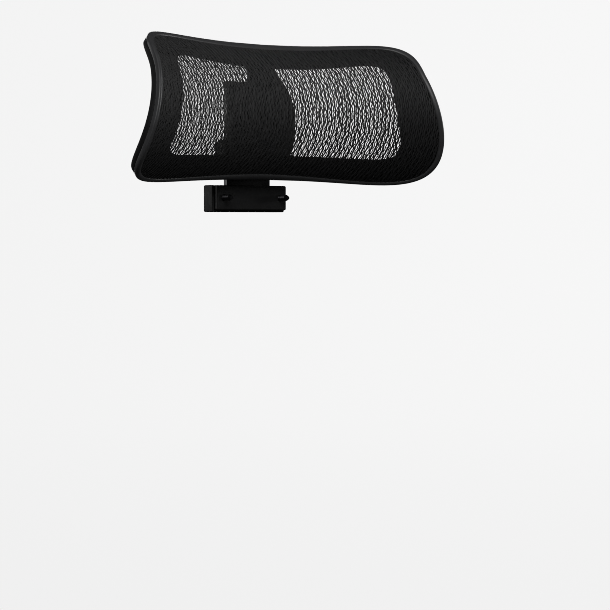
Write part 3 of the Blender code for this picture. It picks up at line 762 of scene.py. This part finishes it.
def spine_section(z):
    """A channel: a plate with a rib along each edge, deepest behind the hinge."""
    half = spine_half_width(z)
    front = spine_front(z)
    rear = front + SPINE_THICK
    depth = 0.0004 + SPINE_RIB_DEPTH * max(0.0, min(1.0, (0.104 - z) / 0.030, (z - 0.029) / 0.008))
    gusset = 0.0115 * max(0.0, (z - 0.127) / (SPINE_TOP - 0.127))
    inner = half - SPINE_RIB_THICK
    corners = [
        (-half, front - gusset), (half, front - gusset), (half, rear + depth), (inner, rear + depth),
        (inner, rear), (-inner, rear), (-inner, rear + depth), (-half, rear + depth),
    ]
    return [Vector((p.x, p.y, z)) for p in eased([Vector(c) for c in corners], 0.0009, 3)]


def build_frame():
    """One moulding: the border with its rim and trim groove, and the spine behind the window."""
    border = band("frame_moulding", [
        (-0.0006, None, 0.0040), (0.0014, None, 0.0043), (0.0014, None, 0.0076), (0.0034, None, 0.0076),
        (0.0034, None, 0.0043), (0.0050, None, 0.0043), (0.0050, None, 0.0017), (0.0140, None, 0.0017),
        (None, 0.0012, 0.0017), (None, 0.0, 0.0026), (None, 0.0, 0.0036), (None, 0.0012, 0.0044),
        (0.0140, None, 0.0044), (0.0080, None, 0.0046), (0.0070, None, 0.0058),
        (0.0060, None, 0.0090), (0.0052, None, 0.0098), (0.0006, None, 0.0098), (-0.0005, None, 0.0088),
    ], 0.0006)
    count = 84
    heights = [SPINE_BOTTOM + (SPINE_TOP - SPINE_BOTTOM) * i / count for i in range(count + 1)]
    spine = object_from_grid([spine_section(z) for z in heights], "spine", False, caps=True)
    screws = numbered("hinge_screw")
    boss_front, boss_length = SPINE_FRONT - 0.0025, 0.0035
    bosses = holes(screws, 0.0042, boss_front, boss_length, 40)
    pilots = holes(screws, 0.0019, boss_front - 0.001, 0.001 + boss_length + SPINE_THICK)
    worked(border, [spine, *bosses], pilots)
    return finish_piece(border, "moulded_nylon", "pad", "headrest_frame")


def build_trim():
    """The satin bead that covers the mesh's edge, with a domed back and a flat foot."""
    dome = []
    for k in range(13):
        turn = math.pi * (1 - k / 12)
        dome.append((0.00205 + 0.00285 * math.cos(turn), None, 0.0011 - 0.0021 * math.sin(turn) ** 0.85))
    trim = band("trim_bead", [(-0.0006, None, 0.0039), *dome, (0.0046, None, 0.0039)], 0.0003)
    finish_piece(trim, "satin_trim", "pad", "edge_trim")
    welt = band("sewn_welt", [
        (0.0017, None, 0.0043), (0.0031, None, 0.0043), (0.0031, None, 0.0072), (0.0017, None, 0.0072),
    ], 0.0003)
    finish_piece(welt, "acetal", "pad", "mesh_welt")
    return trim, welt


class Strands:
    """Collects the mesh's strands as vertices and faces."""

    def __init__(self):
        self.points = []
        self.faces = []

    def add(self, sections):
        """A strand through sections that all have the same number of points, with closed ends."""
        sides = len(sections[0])
        first = len(self.points)
        for section in sections:
            self.points.extend(section)
        for row in range(len(sections) - 1):
            at = first + row * sides
            for i in range(sides):
                j = (i + 1) % sides
                self.faces.append((at + i, at + j, at + sides + j, at + sides + i))
        self.faces.append(tuple(first + i for i in reversed(range(sides))))
        last = first + (len(sections) - 1) * sides
        self.faces.append(tuple(last + i for i in range(sides)))

    def upright(self, path, half_width, half_depth, depth, sides, twist=0.0):
        """A strand that runs up the mesh, from (arc, height) points."""
        turns = [twist + 2 * math.pi * k / sides for k in range(sides)]
        ring = [(half_width * math.cos(t), half_depth * math.sin(t)) for t in turns]
        self.add([
            [saddle(arc + across, height, depth + back) for across, back in ring] for arc, height in path
        ])

    def tie(self, start, end, half_width, depth):
        """A short, flat, three-sided thread across the mesh, between two (arc, height) points."""
        turns = [math.pi / 2 + 2 * math.pi * k / 3 for k in range(3)]
        ring = [(half_width * math.cos(t), 0.5 * half_width * math.sin(t)) for t in turns]
        self.add([
            [saddle(arc, height + up, depth + back) for up, back in ring] for arc, height in (start, end)
        ])


def fabric_edge():
    """The mesh's cut edge, just inside the trim, as (arc, height) points."""
    return [outer + (inner - outer).normalized() * FABRIC_INSET for outer, inner in zip(OUTER, INNER)]


def bow(height):
    """How far the cords bow sideways, as a knit does when it is pulled over a crown."""
    return -FABRIC_BOW * (height - FABRIC_BOW_MIDDLE) ** 2


def cord_span(edge, arc):
    """The lowest and highest heights of the mesh at an arc length, or None past its ends."""
    heights = []
    for a, b in zip(edge, edge[1:] + edge[:1]):
        if (a.x - arc) * (b.x - arc) <= 0 and a.x != b.x:
            heights.append(a.y + (b.y - a.y) * (arc - a.x) / (b.x - a.x))
    return (min(heights), max(heights)) if len(heights) > 1 else None


def wavering(draws, scale):
    """A wandering sideways offset: a long, a middle and a short wave with drawn phases."""
    phases = draws.uniform(0, 2 * math.pi, 3)
    lengths = (0.0165, 0.0068, 0.0037) * draws.uniform(0.88, 1.12, 3)
    shares = (0.00030, 0.00026, 0.00013)

    def offset(height):
        return scale * sum(
            share * math.sin(2 * math.pi * height / length + phase)
            for share, length, phase in zip(shares, lengths, phases)
        )
    return offset


def build_mesh():
    """Upright cords, a finer zigzag strand between each pair, and short ties that hold them together."""
    sizes = bpy.context.scene.headrest_mesh
    draws = np.random.default_rng(MESH_SEED)
    edge = fabric_edge()
    widest = max(point.x for point in edge)
    straight_edge = [Vector((point.x - bow(point.y), point.y)) for point in edge]
    count = int(max(abs(point.x) for point in straight_edge) / sizes.cord_pitch)
    depth = sizes.thickness / 2
    strands = Strands()
    cords = []
    for number in range(-count, count + 1):
        arc = number * sizes.cord_pitch + draws.uniform(-0.06, 0.06) * sizes.cord_pitch
        cords.append((arc, wavering(draws, 1.0)))
    fine = []
    for (arc, _), (following, _) in zip(cords, cords[1:]):
        phase = draws.uniform(0, 2 * math.pi)
        swing = draws.uniform(0.9, 1.1)
        fine.append(((arc + following) / 2, wavering(draws, 0.7), phase, swing))

    def heights_of(arc):
        span = cord_span(straight_edge, arc)
        if span is None or span[1] - span[0] < SHORTEST_STRAND:
            return []
        return np.linspace(span[0], span[1], max(4, round((span[1] - span[0]) / STRAND_STEP)))

    def cord_at(cord, height):
        return cord[0] + cord[1](height) + bow(height)

    def fine_at(strand, height):
        zigzag = ZIGZAG_SWING * strand[3] * math.sin(2 * math.pi * height / ZIGZAG_LENGTH + strand[2])
        return strand[0] + strand[1](height) + zigzag + bow(height)

    for cord in cords:
        path = [(cord_at(cord, h), h) for h in heights_of(cord[0])]
        if path:
            width = sizes.cord_width / 2 * draws.uniform(0.9, 1.1)
            strands.upright(path, width, depth * 0.95, depth, 5, math.pi / 2)
    for number, strand in enumerate(fine):
        heights = heights_of(strand[0])
        if len(heights) == 0:
            continue
        path = [(fine_at(strand, h), h) for h in heights]
        strands.upright(path, sizes.fine_width / 2, depth * 0.6, depth * 1.1, 4)
        ties = int((heights[-1] - heights[0]) / sizes.tie_pitch)
        for cord, offset in ((cords[number], 0.0), (cords[number + 1], 0.5)):
            for k in range(ties):
                drift = draws.uniform(-TIE_JITTER, TIE_JITTER)
                height = heights[0] + (k + 0.3 + offset + drift) * sizes.tie_pitch
                rise = (TIE_SLANT if k % 2 else -TIE_SLANT) * sizes.tie_pitch
                ends = [min(max(h, heights[0]), heights[-1]) for h in (height, height + rise)]
                start = (cord_at(cord, ends[0]), ends[0])
                end = (fine_at(strand, ends[1]), ends[1])
                strands.tie(start, end, sizes.tie_width / 2, depth)
    mesh = bpy.data.meshes.new("knitted_mesh")
    mesh.from_pydata([tuple(p) for p in strands.points], [], strands.faces)
    mesh.update()
    smooth_by_angle(mesh, 80)
    obj = bpy.data.objects.new("knitted_mesh", mesh)
    bpy.context.scene.collection.objects.link(obj)
    finish_piece(obj, "mesh_fabric", "pad", "mesh_panel")
    width = 2 * widest
    return obj


# ---------------------------------------------------------------- tilt hinge

def prism(name, outline_yz, x_low, x_high):
    """A flat outline in Y and Z, given thickness along X."""
    rows = [[(x, y, z) for y, z in outline_yz] for x in (x_low, x_high)]
    return object_from_grid(rows, name, False, caps=True)


def build_hinge_block():
    """The base screwed to the spine, with two gusseted ears that hold the axle."""
    low, high = corners_of("hinge_block")
    axle = middle_of("tilt_axle")
    knuckle = high.y - axle.y
    base_thick = 0.0032
    base_top = Vector((high.x, low.y + base_thick, high.z))
    base = slab("hinge_moulding", low, base_top, 0.0010)
    outer_face = corners_of("spring_washer_left")[0].x - GAP
    ear_thick = 0.0060
    joins, cuts = [], []
    for side in (-1, 1):
        near, far = sorted((side * (outer_face - ear_thick), side * outer_face))
        root = low.y + base_thick / 2
        joins.append(slab(
            f"ear web {side}", (near, root, axle.z - knuckle), (far, axle.y, axle.z + knuckle), 0.0))
        joins.append(cylinder(f"ear {side}", knuckle, (near, axle.y, axle.z), (far, axle.y, axle.z)))
        joins.append(prism(f"gusset {side}", [
            (root, axle.z + knuckle - 0.001), (axle.y - 0.0022, axle.z + knuckle - 0.001),
            (root, axle.z + knuckle + 0.0105),
        ], near + 0.0019, far - 0.0019))
    cuts.append(cylinder("ear bore", 0.0027, (-0.03, axle.y, axle.z), (0.03, axle.y, axle.z)))
    cuts += holes(numbered("hinge_screw"), 0.0022, low.y - 0.002, 0.007)
    worked(base, joins, cuts, 0.00035)
    return finish_piece(base, "moulded_nylon", "pad", "hinge_block")


def build_screws(name, nodes, body, kind):
    """Round-headed socket screws along Y, one for each node, made once and copied."""
    (radius, height), shank_radius, flat = kind
    low, high = corners_of(nodes[0])
    length = (high.y - low.y) - height
    model = turned(name, [
        *plain([(0.0, height), (radius, height), (radius, 0.0), (shank_radius, 0.0)], 0.22 * height),
        (shank_radius, 0.45 * (shank_radius - length), False), (shank_radius, shank_radius - length, False),
        (0.6 * shank_radius, -length, False), (0.0, -length, False),
    ])
    worked(model, cuts=[hexagon("socket", flat, 0.45 * height, height + 0.002)])
    for node in nodes:
        piece = copy_of(model, f"{node}_turned")
        at = middle_of(node)
        seat = corners_of(node)[1].y - height
        set_along(piece, Vector((at.x, seat, at.z)), Y_AXIS)
        finish_piece(piece, "black_screw", body, node)
    bpy.data.objects.remove(model, do_unlink=True)


def build_axle_set():
    """Caps over the axle's ends and bushes in the barrel; the pieces inside keep their solids."""
    axle = middle_of("tilt_axle")
    for side, name in ((-1, "right"), (1, "left")):
        low, high = corners_of(f"hinge_cap_{name}")
        inner_x = high.x if side < 0 else low.x
        cap = turned(f"axle_cap_{name}", plain([
            (0.0, 0.0082), (0.0046, 0.0082), (0.0063, 0.0074), (0.0065, 0.0060), (0.0065, 0.0),
            (0.0054, 0.0), (0.0054, 0.0064), (0.0, 0.0068),
        ], 0.0007))
        set_along(cap, Vector((inner_x, axle.y, axle.z)), side * X_AXIS)
        finish_piece(cap, "moulded_nylon", "pad", f"hinge_cap_{name}")
        low, high = corners_of(f"hinge_bush_{name}")
        flange_out = max(abs(low.x), abs(high.x))
        bush = turned(f"flanged_bush_{name}", plain([
            (0.0055, flange_out), (0.0055, flange_out - 0.0012), (0.0037, flange_out - 0.0012),
            (0.0037, 0.0005), (0.0027, 0.0005), (0.0027, flange_out),
        ], 0.00015, closed=True))
        set_along(bush, Vector((0.0, axle.y, axle.z)), side * X_AXIS)
        finish_piece(bush, "acetal", "carrier", f"hinge_bush_{name}")
        refinish(f"spring_washer_{name}", "spring_steel")
    refinish("tilt_axle", "zinc_steel")
    refinish("axle_nut", "zinc_steel")


# ---------------------------------------------------------------- slide: carrier, rail and bracket

def shoulder_cutters(low, high):
    """Square tools turned 45 degrees, which take the two upper corners off a carrier piece."""
    tools = []
    for side in (-1, 1):
        half = SHOULDER
        at = Vector((side * high.x, 0.0, high.z))
        rows = [
            [at + Vector((dx, y, dz)) for dx, dz in ((-half, 0), (0, half), (half, 0), (0, -half))]
            for y in (low.y - 0.01, high.y + 0.01)
        ]
        tools.append(object_from_grid(rows, f"shoulder {side}", False, caps=True))
    return tools


def build_carrier():
    """A channel that wraps the rail's front and edges, with the hinge barrel on its front."""
    low, high = corners_of("slide_carrier")
    axle = middle_of("tilt_axle")
    rail_low, _ = corners_of("height_rail")
    front = rail_low.y - 0.0044
    knuckle = axle.y - low.y
    barrel = 0.0108
    body = slab("carrier_moulding", (low.x, front, low.z), high, 0.0012)
    joins = [
        slab("barrel web", (-barrel, axle.y, axle.z - 0.0052), (barrel, front + 0.001, axle.z + 0.0052), 0.0),
        cylinder("barrel", knuckle, (-barrel, axle.y, axle.z), (barrel, axle.y, axle.z)),
    ]
    for side in (-1, 1):
        middle = side * 0.0078
        joins.append(prism(f"barrel gusset {side}", [
            (front + 0.0005, axle.z + 0.0045), (axle.y + 0.003, axle.z + 0.0045),
            (front + 0.0005, axle.z + 0.0125),
        ], middle - 0.0011, middle + 0.0011))
    channel_half, channel_front = 0.0274, rail_low.y - 0.0019
    cuts = [
        slab(
            "channel", (-channel_half, channel_front, low.z - 0.01),
            (channel_half, high.y + 0.01, high.z + 0.01), 0.0),
        cylinder("barrel bore", 0.0039, (-0.02, axle.y, axle.z), (0.02, axle.y, axle.z)),
        *shoulder_cutters(low, high),
    ]
    cuts += holes(numbered("cover_screw"), 0.0012, 0.0075, 0.012, 24)
    worked(body, joins, cuts, 0.00035)
    finish_piece(body, "moulded_nylon", "carrier", "slide_carrier")
    for node, name in (("guide_liner_left", "acetal"), ("guide_liner_right", "acetal"),
                       ("detent_spring", "spring_steel")):
        refinish(node, name)
    return body


def build_carrier_cover():
    """The back plate, with a shallow panel sunk in it and holes for its four screws."""
    low, high = corners_of("carrier_cover")
    cover = slab("carrier_back_plate", low, high, 0.0009)
    inset = Vector((0.0062, 0.0, 0.0050))
    panel_low = Vector((low.x, high.y - 0.0004, low.z)) + inset
    panel_high = Vector((high.x, high.y + 0.002, high.z)) - inset
    panel_low.x += 0.0006
    panel_high.x -= 0.0006
    cuts = [slab("panel", panel_low, panel_high, 0.0), *shoulder_cutters(low, high)]
    cuts += holes(numbered("cover_screw"), 0.0013, low.y - 0.002, 0.008, 24)
    worked(cover, cuts=cuts, edge=0.0003)
    return finish_piece(cover, "moulded_nylon", "carrier", "carrier_cover")


def build_rail():
    """A flat bar with a row of notches across its back and a narrowed top for its cap."""
    low, high = corners_of("height_rail")
    rail = slab("rail_bar", low, high, 0.0010)
    carrier_low, carrier_high = corners_of("slide_carrier")
    first = (carrier_low.z + carrier_high.z) / 2
    travel = next(joint["range_m"][1] for joint in frame["joints"] if joint["type"] == "slide")
    cuts = []
    for number in range(NOTCHES):
        at = Vector((0.0, high.y + 0.0012, first + number * travel / (NOTCHES - 1)))
        cuts.append(cylinder(f"notch {number}", 0.0022, at - 0.011 * X_AXIS, at + 0.011 * X_AXIS, 40))
    for side, name in ((-1, "right"), (1, "left")):
        cuts += holes([f"rail_screw_{name}"], 0.0018, low.y + 0.002, 0.01)
        near, far = sorted((side * 0.0235, side * 0.0355))
        cuts.append(slab(
            f"tongue side {name}", (near, low.y - 0.01, high.z - 0.0045),
            (far, high.y + 0.01, high.z + 0.01), 0.0))
    worked(rail, cuts=cuts, edge=0.0003)
    finish_piece(rail, "painted_steel", "mount", "height_rail")
    cap_low, cap_high = corners_of("rail_cap")
    cap = slab("rail_end_cap", cap_low, cap_high, 0.0016, 6)
    socket = slab(
        "cap socket", (-0.0238, low.y - GAP, high.z - 0.02), (0.0238, high.y + GAP, high.z + GAP), 0.0)
    worked(cap, cuts=[socket], edge=0.00025)
    finish_piece(cap, "moulded_nylon", "mount", "rail_cap")
    return rail, cap


def build_bracket():
    """The foot that is bolted to the chair, with the pocket that the rail stands in, and its cover."""
    low, high = corners_of("mount_bracket")
    rail_low, rail_high = corners_of("height_rail")
    bracket = slab("bracket_moulding", low, high, 0.0015)
    cuts = [slab(
        "rail pocket", (rail_low.x - GAP, rail_low.y - GAP, rail_low.z - GAP),
        (rail_high.x + GAP, rail_high.y + GAP, high.z + 0.01), 0.0)]
    for name in ("right", "left"):
        at = middle_of(f"mount_bolt_{name}")
        line = [Vector((at.x, y, 0.0)) for y in (low.y - 0.002, high.y - 0.006, high.y + 0.002)]
        cuts.append(cylinder(f"bolt hole {name}", 0.0033, line[0], line[2], 40))
        cuts.append(cylinder(f"bolt recess {name}", 0.0068, line[1], line[2], 48))
        at = middle_of(f"rail_screw_{name}")
        start = Vector((at.x, 0.010, 0.0))
        cuts.append(cylinder(f"screw hole {name}", 0.0022, start, start + 0.010 * Y_AXIS, 32))
    worked(bracket, cuts=cuts, edge=0.0003)
    finish_piece(bracket, "moulded_nylon", "mount", "mount_bracket")
    low, high = corners_of("bracket_cover")
    wall = 0.0016
    shell = slab("bracket_shell", low, high, 0.0015, 5)
    hollow = slab(
        "hollow", (low.x + wall, low.y - 0.02, low.z + wall),
        (high.x - wall, high.y - wall, high.z + 0.01), 0.0)
    worked(shell, cuts=[hollow], edge=0.00025)
    finish_piece(shell, "moulded_nylon", "mount", "bracket_cover")
    return bracket, shell


def build_mount_bolts():
    """Two threaded bolts with plain washers; their ends stand out of the mounting face."""
    for name in ("right", "left"):
        low, high = corners_of(f"mount_bolt_{name}")
        at = middle_of(f"mount_bolt_{name}")
        height, shank, pitch = 0.0036, 0.0030, 0.0010
        length = (high.y - low.y) - height
        rows = plain([(0.0, height), (0.0052, height), (0.0052, 0.0), (shank, 0.0)], 0.0006)
        rows += [(shank, -k * 0.000125, k > 32) for k in range(1, int((length - 0.0024) / 0.000125))]
        rows += [(0.6 * shank, -length, False), (0.0, -length, False)]
        bolt = turned(f"mount_bolt_{name}_turned", rows, pitch, 0.00042, 40)
        worked(bolt, cuts=[hexagon("socket", 0.0040, 0.0014, height + 0.002)])
        set_along(bolt, Vector((at.x, high.y - height, 0.0)), Y_AXIS)
        finish_piece(bolt, "black_screw", "mount", f"mount_bolt_{name}")
        low, high = corners_of(f"mount_washer_{name}")
        washer = turned(f"plain_washer_{name}", plain([
            (0.0062, 0.0012), (0.0062, 0.0), (0.0032, 0.0), (0.0032, 0.0012),
        ], 0.00015, closed=True))
        set_along(washer, Vector((at.x, low.y, 0.0)), Y_AXIS)
        finish_piece(washer, "zinc_steel", "mount", f"mount_washer_{name}")


# ---------------------------------------------------------------- stage

def backdrop_material():
    """Glows pale to the camera, with painted light that makes it a little brighter towards +X, and is dark to
    every other ray so that the black parts stay deep.
    """
    colour = tuple(bpy.context.scene.headrest_colours.backdrop)
    material, tree, shader = new_material("pale backdrop")
    split = tree.nodes.new("ShaderNodeSeparateXYZ")
    tree.links.new(object_place(tree), split.inputs[0])
    # Painted light: a falloff of lamp light painted into the glow, dimmer towards -X and brighter towards +X.
    across = remap(tree, split.outputs["X"], -0.6, 3.6, 0.0, 1.0)
    painted_light_falloff = mixed(tree, across, tinted(colour, 0.955), tinted(colour, 1.045))
    shader.inputs["Base Color"].default_value = (0.0, 0.0, 0.0, 1.0)
    shader.inputs["Roughness"].default_value = 0.9
    shader.inputs["Specular IOR Level"].default_value = 0.0
    tree.links.new(painted_light_falloff, shader.inputs["Emission Color"])
    shader.inputs["Emission Strength"].default_value = 1.04
    dim = tree.nodes.new("ShaderNodeBsdfDiffuse")
    dim.inputs["Color"].default_value = (0.06, 0.06, 0.06, 1.0)
    seen = tree.nodes.new("ShaderNodeLightPath").outputs["Is Camera Ray"]
    choice = tree.nodes.new("ShaderNodeMixShader")
    tree.links.new(seen, choice.inputs[0])
    tree.links.new(dim.outputs[0], choice.inputs[1])
    tree.links.new(shader.outputs[0], choice.inputs[2])
    tree.links.new(choice.outputs[0], tree.nodes["Material Output"].inputs["Surface"])
    return material


def build_backdrop():
    """A round pale floor that curves up into a wall on every side."""
    floor_z, flat_radius, curve, wall_top = -0.55, 3.2, 1.2, 4.0
    profile = [(0.0, floor_z), (flat_radius, floor_z)]
    for k in range(1, 17):
        turn = math.pi / 2 * k / 16
        profile.append((flat_radius + curve * math.sin(turn), floor_z + curve * (1 - math.cos(turn))))
    profile.append((flat_radius + curve, wall_top))
    backdrop = turned("backdrop", [(r, z, False) for r, z in profile], steps=96)
    backdrop.data.materials.append(backdrop_material())


def softbox(name, location, size, power):
    """A rectangular soft light turned to the pad."""
    light = bpy.data.lights.new(name, "AREA")
    light.shape = "RECTANGLE"
    light.size, light.size_y = size
    light.energy = power
    obj = bpy.data.objects.new(name, light)
    obj.location = location
    obj.rotation_euler = (Vector(LIGHT_TARGET) - Vector(location)).to_track_quat("-Z", "Y").to_euler()
    bpy.context.scene.collection.objects.link(obj)


def build_camera():
    """The camera stands level with the bracket and looks across the pad from the sitter's right."""
    view = bpy.context.scene.headrest_view
    aim = Vector(CAMERA_AIM)
    heading = Vector((-math.sin(view.azimuth), math.cos(view.azimuth), 0.0))
    data = bpy.data.cameras.new("camera")
    data.lens = view.lens
    data.sensor_width = 36.0
    data.shift_x, data.shift_y = CAMERA_SHIFT
    data.clip_start, data.clip_end = 0.05, 50.0
    camera = bpy.data.objects.new("camera", data)
    camera.location = aim - heading * view.distance
    camera.location.z = view.eye_height
    camera.rotation_euler = (math.radians(90), 0.0, view.azimuth)
    bpy.context.scene.collection.objects.link(camera)
    bpy.context.scene.camera = camera


def build_lights():
    """Soft boxes in front, at the right side and low behind, and a faint even sky."""
    for name, location, size, power in LIGHTS:
        softbox(name, location, size, power)
    world = bpy.data.worlds.new("sky")
    world.use_nodes = True
    world.node_tree.nodes["Background"].inputs["Color"].default_value = (0.9, 0.95, 1.0, 1.0)
    world.node_tree.nodes["Background"].inputs["Strength"].default_value = SKY_STRENGTH
    bpy.context.scene.world = world
    bpy.context.scene.view_settings.view_transform = "Standard"
    bpy.context.scene.cycles.filter_width = 0.85


# ---------------------------------------------------------------- operators

class HEADREST_OT_frame(Operator):
    """Build the moulded frame with its spine"""
    bl_idname = "headrest.frame"
    bl_label = "Frame"

    def execute(self, context):
        build_frame()
        return {"FINISHED"}


class HEADREST_OT_trim(Operator):
    """Build the satin bead and the welt under it"""
    bl_idname = "headrest.trim"
    bl_label = "Trim"

    def execute(self, context):
        build_trim()
        return {"FINISHED"}


class HEADREST_OT_mesh(Operator):
    """Knit the stretched mesh from cords, fine strands and ties"""
    bl_idname = "headrest.mesh"
    bl_label = "Knitted Mesh"

    def execute(self, context):
        build_mesh()
        return {"FINISHED"}


class HEADREST_OT_hinge(Operator):
    """Build the tilt hinge: block, screws, axle, caps and bushes"""
    bl_idname = "headrest.hinge"
    bl_label = "Tilt Hinge"

    def execute(self, context):
        build_hinge_block()
        build_screws("hinge screw", numbered("hinge_screw"), "pad", HINGE_SCREW)
        build_axle_set()
        return {"FINISHED"}


class HEADREST_OT_carrier(Operator):
    """Build the carrier that slides on the rail, with its back plate and screws"""
    bl_idname = "headrest.carrier"
    bl_label = "Slide Carrier"

    def execute(self, context):
        build_carrier()
        build_carrier_cover()
        build_screws("cover screw", numbered("cover_screw"), "carrier", COVER_SCREW)
        return {"FINISHED"}


class HEADREST_OT_rail(Operator):
    """Build the notched height rail and its end cap"""
    bl_idname = "headrest.rail"
    bl_label = "Height Rail"

    def execute(self, context):
        build_rail()
        return {"FINISHED"}


class HEADREST_OT_bracket(Operator):
    """Build the bracket, its cover, bolts, washers and screws"""
    bl_idname = "headrest.bracket"
    bl_label = "Mounting Bracket"

    def execute(self, context):
        build_bracket()
        build_mount_bolts()
        build_screws("rail screw", ["rail_screw_left", "rail_screw_right"], "mount", RAIL_SCREW)
        return {"FINISHED"}


class HEADREST_OT_stage(Operator):
    """Build the pale backdrop, the soft lights and the camera"""
    bl_idname = "headrest.stage"
    bl_label = "Stage"

    def execute(self, context):
        build_backdrop()
        build_lights()
        build_camera()
        return {"FINISHED"}


STEPS = (
    HEADREST_OT_stage, HEADREST_OT_frame, HEADREST_OT_trim, HEADREST_OT_mesh, HEADREST_OT_hinge,
    HEADREST_OT_carrier, HEADREST_OT_rail, HEADREST_OT_bracket,
)


class HEADREST_PT_panel(Panel):
    """Lists the headrest's sizes, colours and building steps"""
    bl_idname = "HEADREST_PT_panel"
    bl_label = "Mesh Headrest"
    bl_space_type = "VIEW_3D"
    bl_region_type = "UI"
    bl_category = "Headrest"

    def draw(self, context):
        for step in STEPS:
            self.layout.operator(step.bl_idname)
        for name in GROUPS_OF_SETTINGS:
            settings = getattr(context.scene, name)
            box = self.layout.box()
            for field in settings.bl_rna.properties:
                if field.identifier not in ("rna_type", "name"):
                    box.prop(settings, field.identifier)


GROUPS_OF_SETTINGS = {
    "headrest_pad": HEADREST_PG_pad,
    "headrest_mesh": HEADREST_PG_mesh,
    "headrest_colours": HEADREST_PG_colours,
    "headrest_view": HEADREST_PG_view,
}


def register():
    for settings in GROUPS_OF_SETTINGS.values():
        bpy.utils.register_class(settings)
    for step in STEPS:
        bpy.utils.register_class(step)
    bpy.utils.register_class(HEADREST_PT_panel)
    for name, settings in GROUPS_OF_SETTINGS.items():
        setattr(bpy.types.Scene, name, PointerProperty(type=settings))


def unregister():
    for name in GROUPS_OF_SETTINGS:
        delattr(bpy.types.Scene, name)
    bpy.utils.unregister_class(HEADREST_PT_panel)
    for step in reversed(STEPS):
        bpy.utils.unregister_class(step)
    for settings in GROUPS_OF_SETTINGS.values():
        bpy.utils.unregister_class(settings)


def main():
    register()
    for step in STEPS:
        family, action = step.bl_idname.split(".")
        getattr(getattr(bpy.ops, family), action)()


if __name__ == "__main__":
    main()
